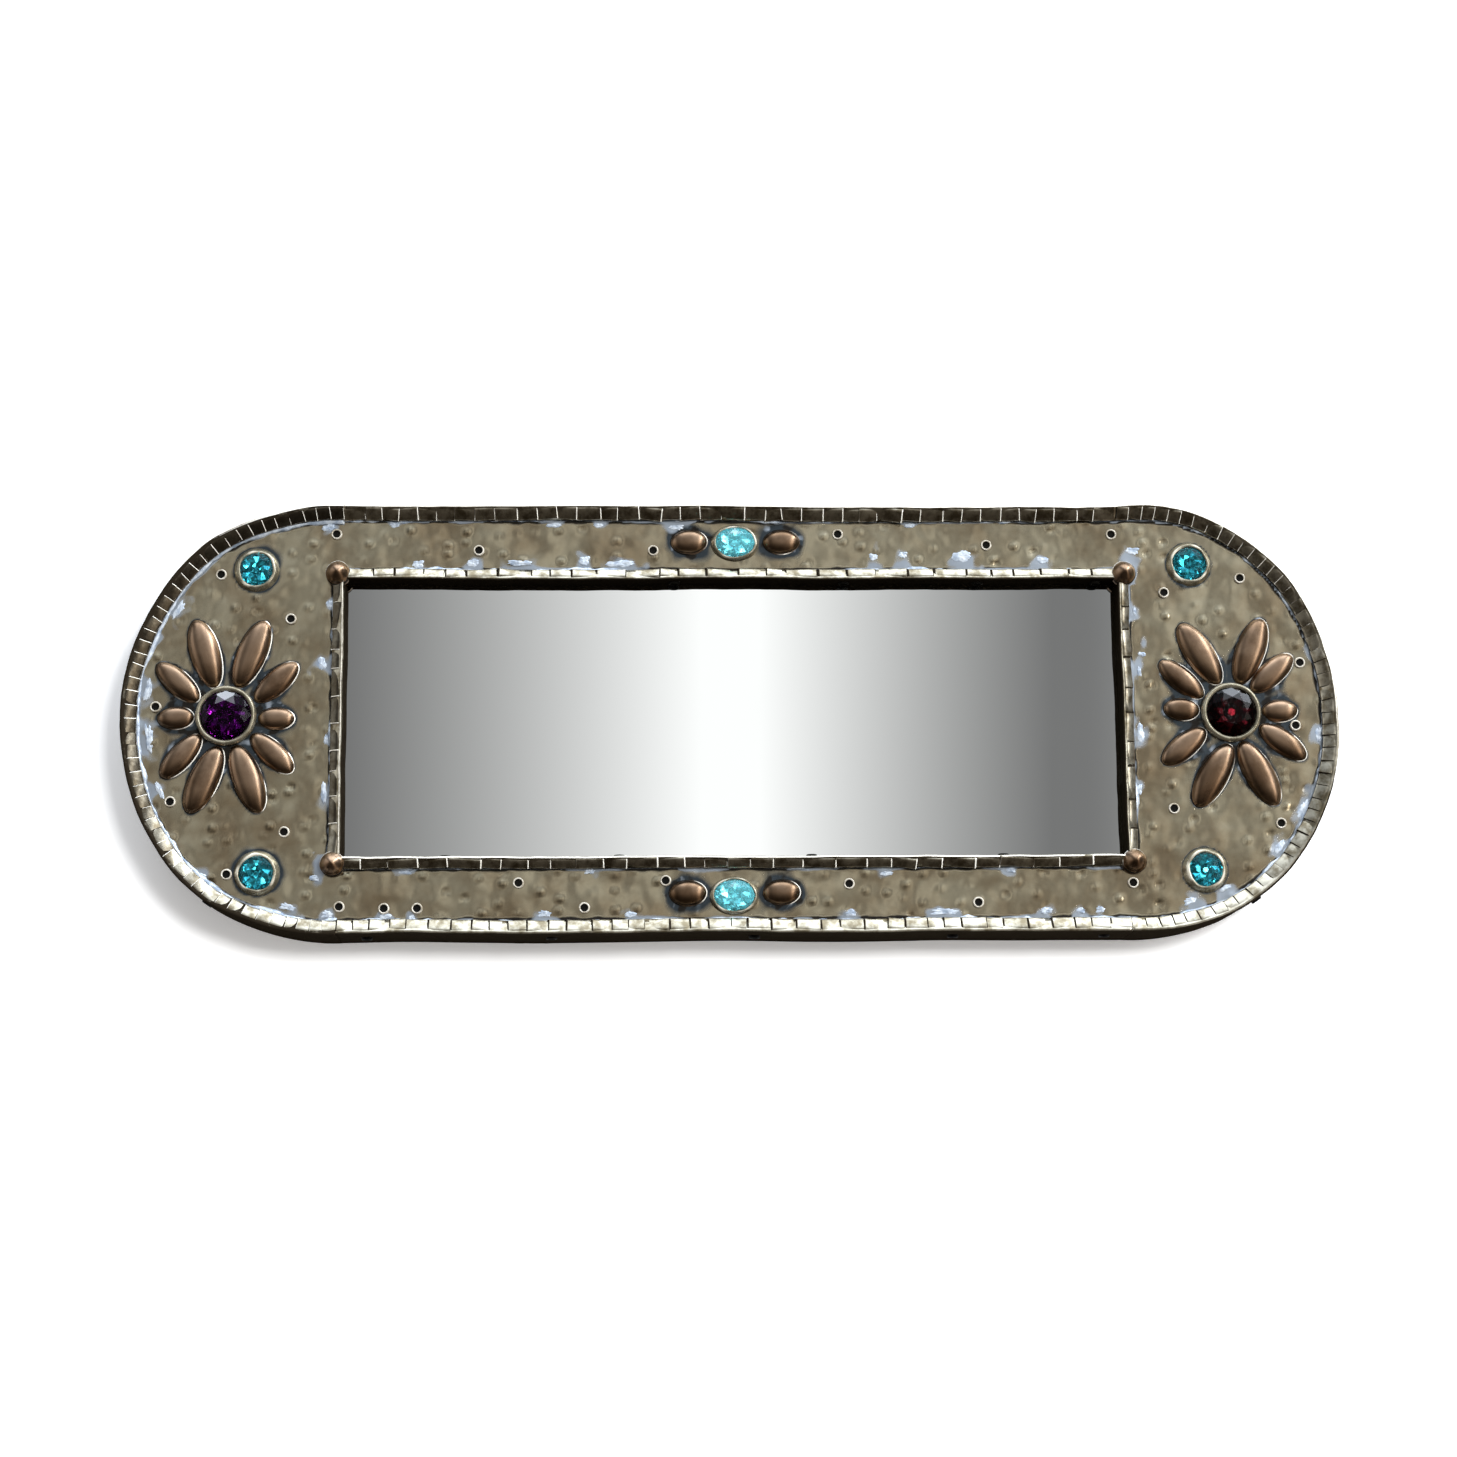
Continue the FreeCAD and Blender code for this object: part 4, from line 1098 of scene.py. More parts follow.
    def tab_pattern(self, dirt: float, rubbed: bool) -> Object:
        """Make one tab: X across a unit width, Y up from foot to crest, raised at one cut edge.

        Args:
            darkening: how much painted shade lies on it, in the tarnish layer.
            rubbed: whether that cut edge is painted bright, rubbed metal with a painted highlight, or else
                dark, a painted shadow.

        Returns:
            The pattern's object.
        """
        out, depth = self.fold_at(self.tab_turn)
        length = math.hypot(self.reach - out, depth - self.foot - self.tab_lift)
        points, wear, grime, tarnish = [], [], [], []
        for y in TAB_ALONG:
            for x in TAB_ACROSS:
                bow = self.tab_bow * (1 - (2 * x) ** 2) * math.sin(math.pi * y)
                lift = (self.lap * (x + 0.5) + bow) * (1 - 0.9 * y ** 4)
                curl = self.tab_curl * max(0.0, (y - 0.85) / 0.15) ** 2
                hem = self.tab_hem if abs(x) == 0.5 or y in (0.0, 1.0) else 0.0
                points.append((x, y * length, lift - curl - hem))
                cut_edge, foot = x > 0.46, y < 0.06
                # The tucked side of each snip, and on shadowed strips the raised cut edge too, is painted
                # dark: painted shadow in the gap. Otherwise the cut edge is painted bright: a painted
                # highlight.
                in_snip = x < -0.48 or (x > 0.44 and not rubbed)
                wear.append(float(rubbed) if cut_edge else 0.55 if foot else 0.0)
                grime.append(0.85 if in_snip else 0.0)
                tarnish.append(0.0 if cut_edge else dirt)
        faces = lattice(len(TAB_ALONG), len(TAB_ACROSS))
        piece = new_piece("tab_pattern", points, faces, [FOLDED_BRASS.build()])
        paint(piece, wear=wear, grime=grime, tarnish=tarnish)
        return thicken(piece, self.tab_gauge)

    def tab_spots(self, run: Run) -> list[Spot]:
        """Lay out the tabs along one run, cut by eye to uneven widths.

        Args:
            run: the strip's line.

        Returns:
            Where the tabs go.
        """
        low, high = self.tab_widths[2:] if run.bend else self.tab_widths[:2]
        cuts = [0.0]
        while cuts[-1] < run.length - low:
            cuts.append(cuts[-1] + self.rng.uniform(low, high))
        cuts = np.array(cuts) * run.length / cuts[-1]
        top_out, top_depth = self.fold_at(self.tab_turn)
        spots = []
        for start, end in zip(cuts[:-1], cuts[1:]):
            middle = (start + end) / 2
            drift = float(self.stray(run, middle))
            foot = run.at(middle, self.reach + drift, self.foot + self.tab_lift)
            ridge = run.at(middle, top_out + drift, top_depth)
            slope = Vector(ridge - foot).normalized()
            outward = run.outward(middle)
            normal = Vector((-outward[1], 0.0, outward[0])).cross(slope)
            normal = normal if normal.y < 0 else -normal
            lean = self.rng.normal(0.0, self.tab_tilt)
            twist = self.rng.normal(0.0, self.tab_tilt)
            side = (slope.cross(normal) + slope * lean + normal * twist).normalized()
            normal = side.cross(slope).normalized()
            width = (end - start) * self.rng.uniform(*self.tab_spread)
            place = foot + self.rng.normal(0, self.tab_shift, 3)
            spots.append(Spot(place, normal, side, (width, self.rng.uniform(*self.tab_stretch), 1.0)))
        return spots

    def build(self, scatter: Scatter) -> None:
        """Build every strip of this edge and set it in place of its node.

        Args:
            scatter: tree that scatters the tabs.
        """
        for run in self.runs:
            pieces, rest = [self.wall_piece(run)], self.tab_spots(run)
            # Tabs go in bands by height: the painted shade on the left-hand strips fades towards the bottom,
            # and the snips are painted dark or bright.
            for lowest, share in BANDS:
                band = [spot for spot in rest if spot.place[2] >= lowest]
                rest = [spot for spot in rest if spot.place[2] < lowest]
                if band:
                    rubbed = lowest >= DARK_SNIPS.get(run.node, lowest)
                    pattern = self.tab_pattern(share * DIRT.get(run.node, 0.0), rubbed)
                    name = f"{run.node}_tabs_{len(pieces)}"
                    pieces.append(scatter.spread(name, pattern, FOLDED_BRASS.build(), band))
                    bpy.data.objects.remove(pattern)
            install(join(f"{run.node}_folded", pieces), "folded_brass", run.node)


class HammeredSheet(NodeGroup):
    """A round-ended sheet with a window, swollen and dimpled by the hammer."""

    NUMBERS = ("Length", "Height", "Spacing", "Straight half", "Outline radius", "Window half width",
               "Window half height", "Dimple spacing", "Dimple radius", "Dimple height", "Swell size",
               "Swell height", "Front", "Seed")

    def __init__(self) -> None:
        """Build the tree: a grid cut to the outline, then raised by swells and dimples."""
        sockets = {**dict.fromkeys(self.NUMBERS, "NodeSocketFloat"), "Finish": "NodeSocketMaterial"}
        super().__init__("hammered_sheet", sockets)
        tree, given = self.tree, self.given
        counts = [calc(tree, "DIVIDE", given[side], given["Spacing"]) for side in ("Length", "Height")]
        grid = add_node(tree, "GeometryNodeMeshGrid", {
            "Size X": given["Length"], "Size Y": given["Height"],
            "Vertices X": counts[0], "Vertices Y": counts[1]})
        place = add_node(tree, "GeometryNodeInputPosition").outputs[0]
        trimmed = add_node(tree, "GeometryNodeDeleteGeometry", {
            "Geometry": grid.outputs[0], "Selection": self.outside(place)}, domain="POINT")
        lift = calc(tree, "ADD", self.swells(place), self.dimples(place))
        rise = add_node(tree, "ShaderNodeCombineXYZ", {"Z": lift})
        raised = add_node(tree, "GeometryNodeSetPosition", {
            "Geometry": trimmed.outputs[0], "Offset": rise.outputs[0]})
        forward = add_node(tree, "ShaderNodeCombineXYZ", {"Y": calc(tree, "MULTIPLY", given["Front"], -1.0)})
        upright = add_node(tree, "GeometryNodeTransform", {
            "Geometry": raised.outputs[0], "Translation": forward.outputs[0],
            "Rotation": (math.pi / 2, 0.0, 0.0)})
        smooth = add_node(tree, "GeometryNodeSetShadeSmooth", {"Geometry": upright.outputs[0]})
        self.close(smooth.outputs[0])

    def outside(self, place: NodeSocket) -> NodeSocket:
        """Select the points beyond the round-ended outline, or within the window.

        Args:
            place: the grid's points.

        Returns:
            True where a point goes.
        """
        tree, given = self.tree, self.given
        flat = add_node(tree, "ShaderNodeVectorMath", {0: place}, operation="ABSOLUTE")
        part = add_node(tree, "ShaderNodeSeparateXYZ", {0: flat.outputs[0]}).outputs
        beyond = calc(tree, "MAXIMUM", calc(tree, "SUBTRACT", part["X"], given["Straight half"]), 0.0)
        offset = add_node(tree, "ShaderNodeCombineXYZ", {"X": beyond, "Y": part["Y"]})
        reach = add_node(tree, "ShaderNodeVectorMath", {0: offset.outputs[0]}, operation="LENGTH")
        limits = ((reach.outputs["Value"], "Outline radius", "GREATER_THAN"),
                  (part["X"], "Window half width", "LESS_THAN"),
                  (part["Y"], "Window half height", "LESS_THAN"))
        past, *inside = [
            add_node(tree, "FunctionNodeCompare", {"A": value, "B": given[name]}, operation=test).outputs[0]
            for value, name, test in limits]
        window = add_node(tree, "FunctionNodeBooleanMath", dict(enumerate(inside)), operation="AND")
        return add_node(tree, "FunctionNodeBooleanMath", {0: past, 1: window.outputs[0]},
                        operation="OR").outputs[0]

    def swells(self, place: NodeSocket) -> NodeSocket:
        """Raise and sink the sheet in broad soft waves.

        Args:
            place: the grid's points.

        Returns:
            Height of each point.
        """
        tree, given = self.tree, self.given
        wave = add_node(tree, "ShaderNodeTexNoise", {
            "Vector": place, "W": given["Seed"], "Scale": calc(tree, "DIVIDE", 1.0, given["Swell size"]),
            "Detail": 2.0, "Roughness": 0.45}, noise_dimensions="4D")
        return calc(tree, "MULTIPLY", calc(tree, "SUBTRACT", wave.outputs[0], 0.5), given["Swell height"])

    def dimples(self, place: NodeSocket) -> NodeSocket:
        """Set small round marks of the punch, most raised, some sunk and some missing.

        Args:
            place: the grid's points.

        Returns:
            Height of each point.
        """
        tree, given = self.tree, self.given
        apart = add_node(tree, "ShaderNodeVectorMath", {0: place, 1: given["Seed"]})
        cells = add_node(tree, "ShaderNodeTexVoronoi", {
            "Vector": apart.outputs[0], "Scale": calc(tree, "DIVIDE", 1.0, given["Dimple spacing"])},
            voronoi_dimensions="2D").outputs
        away = calc(tree, "MULTIPLY", cells["Distance"], given["Dimple spacing"])
        bump = remap(tree, away, 0.0, given["Dimple radius"], 1.0, 0.0, smooth=True)
        luck = add_node(tree, "ShaderNodeSeparateXYZ", {0: cells["Color"]}).outputs["X"]
        force = calc(tree, "ADD", remap(tree, luck, 0.22, 0.0, 0.0, -1.0), remap(tree, luck, 0.45, 0.95))
        return calc(tree, "MULTIPLY", bump, calc(tree, "MULTIPLY", force, given["Dimple height"]))


@dataclass
class Dome:
    """A pressed copper dome on the face plate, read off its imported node.

    Attributes:
        name: its name.
        centre: widest place of its foot, as (x, z).
        bearing: direction of its long axis, from the inner to the outer end, in radians.
        inner: length from the widest place to the inner end.
        outer: length from the widest place to the outer end.
        half_width: half its width.
        height: its height.
        fillet: width of the line of solder at its foot.
    """

    name: str
    centre: Points
    bearing: float
    inner: float
    outer: float
    half_width: float
    height: float
    fillet: float = 0.6

    @classmethod
    def read(cls, name: str, points: Points, outward: Points | None = None) -> "Dome":
        """Measure a dome from its points.

        Args:
            name: its name.
            points: its packed vertices.
            outward: direction that its outer end points in, as (x, z).

        Returns:
            The measured dome.
        """
        flat = points[:, (0, 2)]
        middle = Box.around(flat).centre
        _, axes = np.linalg.eigh(np.cov((flat - middle).T))
        axis = axes[:, 1]
        if outward is not None and axis @ outward < 0:
            axis = -axis
        side = np.array([-axis[1], axis[0]])
        along, across = (flat - middle) @ axis, (flat - middle) @ side
        across = across - (across.min() + across.max()) / 2
        widest = along[np.argmax(np.abs(across))] if outward is not None else (along.min() + along.max()) / 2
        return cls(name, middle + axis * widest, math.atan2(axis[1], axis[0]), widest - along.min(),
                   along.max() - widest, np.ptp(across) / 2, np.ptp(points[:, 1]))

    def distance(self, flat: Points) -> Points:
        """Measure roughly how far points lie outside this dome's foot.

        Args:
            flat: places on the sheet, as (x, z).

        Returns:
            Distances, negative inside.
        """
        away = flat - self.centre
        along = away @ np.array([math.cos(self.bearing), math.sin(self.bearing)])
        across = away @ np.array([-math.sin(self.bearing), math.cos(self.bearing)])
        share = np.hypot(along / np.where(along > 0, self.outer, self.inner), across / self.half_width)
        return (share - 1) * np.hypot(along, across) / np.maximum(share, 1e-6)

    def rings(self) -> list[tuple[float, float, float, float]]:
        """List the rings of the dome from its foot up.

        Returns:
            For each ring its share of the plan, its width beyond that, its height and the solder on it.
        """
        levels = 13
        fillet = self.fillet
        start = math.asin(min(fillet / self.height, 0.6))
        foot = [(1.0, fillet, -0.3, 1.0), (1.0, 0.85 * fillet, 0.15 * fillet, 1.0),
                (1.0, 0.25 * fillet, 0.8 * fillet, 1.0)]
        return foot + [(math.cos(turn) ** 0.88, 0.0, self.height * math.sin(turn), 0.0)
                       for turn in np.linspace(start, math.pi / 2 - 0.03, levels)]

    def build(self, plate: float) -> Object:
        """Make the dome with the thin line of solder at its foot, painted bright towards the right and dark
        on the far side: a painted highlight and painted shade.

        Args:
            plate: depth of the sheet it stands on.

        Returns:
            The dome's object.
        """
        sides = 48
        turns = circle(sides)
        reach = np.where(np.cos(turns) > 0, self.outer, self.inner)
        cos, sin = math.cos(self.bearing), math.sin(self.bearing)
        x, z = self.centre
        foot = np.stack([x + reach * np.cos(turns), 0 * turns, z + reach * np.sin(turns)], 1)
        # The solder line is painted bright towards the right, a painted highlight, and dark on the far side,
        # a painted shade.
        lit = 0.25 + 0.8 * np.cos(turns + self.bearing + math.radians(10))
        bright = np.clip(lit + 0.9 * lump(foot, 9.0, 4), 0, 1)
        rows, wear, burnt = [], [], []
        for share, wide, height, solder in self.rings():
            along = np.cos(turns) * (reach * share + wide)
            across = np.sin(turns) * (self.half_width * share + wide)
            rows.append(np.stack([x + along * cos - across * sin, np.full(sides, -(plate + height)),
                                  z + along * sin + across * cos], 1))
            wear.append(bright * solder)
            burnt.append((1 - bright) * solder)
        points = np.concatenate(rows)
        points[:, 1] += lump(points, 9.0, 3) * 0.2
        last = (len(rows) - 1) * sides
        caps = [tuple(range(last, last + sides)), tuple(reversed(range(sides)))]
        faces = lattice(len(rows), sides, wrap=True) + caps
        piece = new_piece(self.name, points, faces, [SATIN_COPPER.build()])
        paint(piece, wear=wear, flux=burnt)
        return piece


@dataclass
class Stone:
    """A brilliant-cut glass stone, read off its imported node.

    Attributes:
        node: its node.
        glass: its finish.
        sides: corners of its table.
        table_share: width of the table beside the stone's.
        kite_share: how far down the crown the kite facets reach.
        spread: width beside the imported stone's.
    """

    node: str
    glass: FoiledGlass
    sides: int = 8
    table_share: float = 0.56
    kite_share: float = 0.46
    spread: float = 1.0

    def shape(self) -> tuple[Points, Faces, int]:
        """Facets of the stone.

        Returns:
            Points, faces, and the number of faces that belong to the front.
        """
        box = Box.of(self.node)
        centre, half = box.centre, box.half * self.spread
        kite = self.table_share + (1 - self.table_share) * self.kite_share
        twice = 2 * self.sides
        # Rings from the table to the culet: share of the width, heights in turn, number of points, offset.
        levels = ((self.table_share, (1.0,), self.sides, 0.0),
                  (kite / math.cos(math.pi / self.sides), (1 - 0.5 * self.kite_share,), self.sides, 0.5),
                  (1.0, (0.50,), twice, 0.0), (1.0, (0.43,), twice, 0.0), (0.72, (0.10, 0.34), twice, 0.5),
                  (0.38, (0.26,), self.sides, 0.5), (0.15, (0.03,), self.sides, 0.0))
        points, starts = [], []
        for share, rises, count, offset in levels:
            starts.append(len(points))
            for step in range(count):
                turn = 2 * math.pi * (step + offset) / count
                depth = -box.high[1] + (box.high[1] - box.low[1]) * rises[step % len(rises)]
                points.append((centre[0] + half[0] * share * math.cos(turn), -depth,
                               centre[2] + half[2] * share * math.sin(turn)))
        return np.array(points), *self.facets(starts)

    def facets(self, starts: Sequence[int]) -> tuple[Faces, int]:
        """Faces of the stone over its rings of points, front first.

        Args:
            starts: first point of each ring.

        Returns:
            Faces, and how many of them are the front.
        """
        count, twice = self.sides, 2 * self.sides
        table, star, upper, lower, belly, inner, culet = starts
        front: Faces = [tuple(table + step for step in range(count))]
        back: Faces = [tuple(culet + step for step in reversed(range(count)))]
        for step in range(count):
            after, before = (step + 1) % count, (step - 1) % count
            near, mid, far = 2 * step, 2 * step + 1, (2 * step + 2) % twice
            front += [(table + step, star + step, table + after),
                      (table + step, star + before, upper + near, star + step),
                      (star + step, upper + near, upper + mid), (star + step, upper + mid, upper + far)]
            for left, right in ((near, mid), (mid, far)):
                front.append((upper + left, lower + left, lower + right, upper + right))
                back += [(lower + left, belly + left, lower + right),
                         (lower + right, belly + left, belly + right)]
            back += [(belly + near, inner + step, belly + mid), (belly + mid, inner + step, inner + after),
                     (belly + mid, inner + after, belly + far), (inner + step, culet + step, culet + after),
                     (inner + step, culet + after, inner + after)]
        return front + back, len(front)

    def build(self) -> Object:
        """Make the stone: glass in front, foil on the facets behind, and a painted highlight on the upper
        facets.

        Returns:
            The stone's object.
        """
        points, faces, front = self.shape()
        piece = new_piece(f"{self.node}_cut", points, faces, self.glass.build(), smooth=False)
        # The upper front facets take the brighter glass: a painted highlight.
        upward = [face.normal.z > 0.3 and abs(face.normal.x) < 0.22 for face in piece.data.polygons]
        slots = [1 if step >= front else 2 if upward[step] else 0 for step in range(len(faces))]
        piece.data.polygons.foreach_set("material_index", slots)
        return piece


class Section(Enum):
    """Sections of the settings from the skirt over the lip to the seat.

    Each point is its share of the width, its share of the height, and its wear.
    """

    PUSHED = ((1.0, -0.1, 0.0), (0.96, 0.05, 0.0), (0.62, 0.50, 0.2), (0.36, 0.86, 0.8), (0.12, 1.02, 1.0),
              (-0.16, 1.00, 0.9), (-0.26, 0.88, 0.5), (-0.22, 0.72, 0.0), (0.0, 0.3, 0.0), (0.0, -0.1, 0.0))
    WIRE = ((1.0, -0.1, 0.0), (1.0, 0.42, 0.3), (0.94, 0.66, 0.9), (0.80, 0.86, 0.5), (0.58, 0.98, 0.1),
            (0.36, 0.98, 0.1), (0.14, 0.86, 0.5), (0.0, 0.66, 0.9), (-0.03, 0.4, 0.0), (0.0, -0.1, 0.0))


@dataclass
class Setting:
    """A hand-made ring of metal round a stone.

    Attributes:
        name: piece name.
        centre: middle of the ring, as (x, y, z).
        half: half its length and half its height.
        seat: half length and half height of the stone's seat.
        height: how far it stands off the sheet.
        sway: how uneven the hand-pushed metal is.
        key: number that makes its unevenness its own.
        section: its section.
    """

    name: str
    centre: Points
    half: tuple[float, float]
    seat: tuple[float, float]
    height: float
    sway: float
    key: float
    section: Section = Section.PUSHED

    def build(self, plate: float) -> Object:
        """Make the ring: a skirt, a rounded lip and an inner wall.

        Args:
            plate: depth of the sheet it stands on.

        Returns:
            The ring's object.
        """
        sides = 72
        turns = circle(sides)
        flat = (1, 0, 1)
        rows, wear = [], []
        for share, rise, rubbed in self.section.value:
            wide, tall = (seat + (half - seat) * share for half, seat in zip(self.half, self.seat))
            level = np.full(sides, rise * self.height)
            ring = np.stack([wide * np.cos(turns), level, tall * np.sin(turns)], 1)
            bend = lump(ring * flat, 7.0, self.key) * self.sway * max(0.0, min(rise, 1.0))
            ring[:, 0] += bend * np.cos(turns)
            ring[:, 2] += bend * np.sin(turns)
            ring[:, 1] += lump(ring * flat, 5.0, self.key + 9) * self.sway * 0.6 * max(0.0, rise)
            rows.append(ring)
            wear.append(rubbed * np.clip(0.55 + 0.9 * lump(ring * flat, 6.0, self.key + 3), 0, 1))
        x, y, z = np.concatenate(rows).T
        points = np.stack([x + self.centre[0], -(plate + y), z + self.centre[2]], 1)
        faces = lattice(len(rows), sides, wrap=True, loop=True)
        piece = new_piece(self.name, points, faces, [BEZEL_BRASS.build()])
        paint(piece, wear=wear)
        return piece


@dataclass
class Flower:
    """One copper flower: petals, ring bezel and its stone.

    Attributes:
        side: end of the frame that it sits on.
        glass: finish of its stone.
        plate: depth of the sheet.
        bezel_spread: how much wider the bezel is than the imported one, on each side.
        bezel_rise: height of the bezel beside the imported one's.
        sway: how uneven the bezel is.
        seat_gap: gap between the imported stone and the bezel.
        stone_spread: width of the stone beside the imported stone's.
        bezel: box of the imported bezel.
        petals: its petals by node.
    """

    side: Side
    glass: FoiledGlass
    plate: float
    bezel_spread: float = 0.9
    bezel_rise: float = 0.9
    sway: float = 0.15
    seat_gap: float = 0.5
    stone_spread: float = 1.05
    bezel: Box = field(init=False)
    petals: dict[str, Dome] = field(init=False)

    def __post_init__(self) -> None:
        """Read the bezel and the petals from the frame."""
        self.bezel = Box.of(f"flower_bezel_{self.side.value}")
        self.petals = {}
        for node in sorted(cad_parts):
            if node.startswith(f"petal_{self.side.value}_"):
                points = mesh_points(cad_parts[node].data)
                outward = (Box.around(points).centre - self.bezel.centre)[[0, 2]]
                self.petals[node] = Dome.read(f"{node}_pressed", points, outward)

    def build(self) -> None:
        """Build the petals, the bezel and the stone."""
        for node, petal in self.petals.items():
            install(petal.build(self.plate), "copper", node)
        bezel, gem = f"flower_bezel_{self.side.value}", f"flower_gem_{self.side.value}"
        half = self.bezel.half + self.bezel_spread
        seat = Box.of(gem).half + self.seat_gap
        rise = self.bezel_rise * (self.bezel.high[1] - self.bezel.low[1])
        ring = Setting(f"{bezel}_ring", self.bezel.centre, (half[0], half[2]), (seat[0], seat[2]), rise,
                       self.sway, key=5.0, section=Section.WIRE)
        install(ring.build(self.plate), "bezel_brass", bezel)
        install(Stone(gem, self.glass, spread=self.stone_spread).build(), self.glass.name, gem)


@dataclass
class StoneWork:
    """Stones of one kind, and their hand-pushed collars.

    Attributes:
        nodes: the stones' nodes.
        collar_node: node of their collars.
        glass: finish of the stones.
        skirt: how far a collar reaches past its stone, across and up.
        sway: how uneven the collars are.
        plate: depth of the sheet.
        sides: corners of a stone's table.
        seat_gap: gap between a stone and its collar.
    """

    nodes: Sequence[str]
    collar_node: str
    glass: FoiledGlass
    skirt: tuple[float, float]
    sway: float
    plate: float
    sides: int = 6
    seat_gap: float = 0.2

    def build(self) -> None:
        """Build the stones, and their collars as one piece."""
        rim = Box.of(self.collar_node)
        collars = []
        for step, node in enumerate(self.nodes):
            install(Stone(node, self.glass, self.sides).build(), "aqua_glass", node)
            box = Box.of(node)
            wide, _, tall = box.half
            outer = wide + self.skirt[0], tall + self.skirt[1]
            seat = wide + self.seat_gap, tall + self.seat_gap
            collar = Setting(f"{node}_collar", box.centre, outer, seat, rim.high[1] - rim.low[1], self.sway,
                             Seed.COLLARS.value + step)
            collars.append(collar.build(self.plate))
        install(join(f"{self.collar_node}_pushed", collars), "bezel_brass", self.collar_node)


# How far a corner stone's collar reaches past it.
CORNER_SKIRT = 2.8
# Patches of solder on the seams: x, z, length along the seam and width across it.
PATCHES = (
    (-166.2, 82.5, 10, 8), (-136.7, 83.5, 9, 7), (-112.4, 83.2, 22, 5), (-78.6, 84.5, 10, 9),
    (-58.5, 83.0, 22, 6), (74.9, 86.7, 8, 6), (90.4, 87.8, 8, 6), (122.4, 87.0, 15, 10), (165.1, 85.0, 11, 6),
    (212.9, 90.0, 12, 7), (-215.5, 28.8, 10, 8), (-212.0, 61.1, 7, 6), (-212.5, -11.2, 9, 4),
    (-213.0, -40.0, 16, 5), (-217.0, -84.0, 9, 5), (214.5, 24.5, 9, 4), (214.0, -9.4, 16, 6),
    (212.3, -38.8, 10, 4), (213.2, 57.1, 8, 3), (216.6, 33.7, 6, 4), (-170.6, -81.2, 12, 3),
    (-75.1, -81.0, 9, 5), (78.0, -82.7, 10, 4), (143.3, -81.0, 9, 5), (-209.7, -102.9, 10, 7),
    (-180.5, -104.0, 9, 5), (-166.6, -104.5, 6, 4), (-98.3, -103.0, 12, 6), (-54.5, -103.5, 9, 5),
    (59.4, -103.0, 10, 6), (108.8, -102.8, 24, 6), (160.9, -102.4, 9, 6), (179.1, -102.4, 8, 5),
    (189.6, -102.0, 8, 6), (-303.5, 42.3, 18, 6), (-305.2, 15.6, 22, 6), (-303.8, -11.0, 26, 7),
    (-297.8, -37.4, 14, 5), (-274.8, -83.4, 12, 7), (-291.0, 57.5, 18, 6), (-212.9, 102.6, 10, 6),
    (-178.6, 104.2, 9, 5), (-230.0, -99.0, 14, 6), (308.7, 33.6, 12, 6), (308.6, -9.6, 14, 7),
    (298.5, -49.7, 20, 9), (284.3, -69.8, 12, 6), (255.0, -91.0, 12, 4), (236.8, -97.5, 12, 6),
    (-94.0, 104.0, 12, 4), (-71.0, 104.0, 9, 4), (-30.0, 103.0, 14, 5), (95.0, 104.0, 8, 4))
# How much of each seam is filled with solder.
FILL = {"edge_strip_right": 0.3, "edge_strip_top": 0.12, "edge_strip_left": 0.95, "edge_strip_bottom": 0.4,
        "window_strip_right": 0.3, "window_strip_top": 0.5, "window_strip_left": 0.3,
        "window_strip_bottom": 0.15}


def seam_heading(sizes: FrameSizes, x: float, z: float) -> tuple[float, float, float]:
    """Find the direction of the nearest seam.

    Args:
        sizes: sizes of the frame.
        x: place on the sheet, to the right.
        z: place on the sheet, upwards.

    Returns:
        The direction along the seam.
    """
    if abs(z) < sizes.window_top and abs(x) < sizes.window_right + 2 * sizes.window_flange:
        return 0.0, 0.0, 1.0
    away = Vector((math.copysign(max(abs(x) - sizes.straight_half, 0.0), x), z)).normalized()
    return -away.y, 0.0, away.x


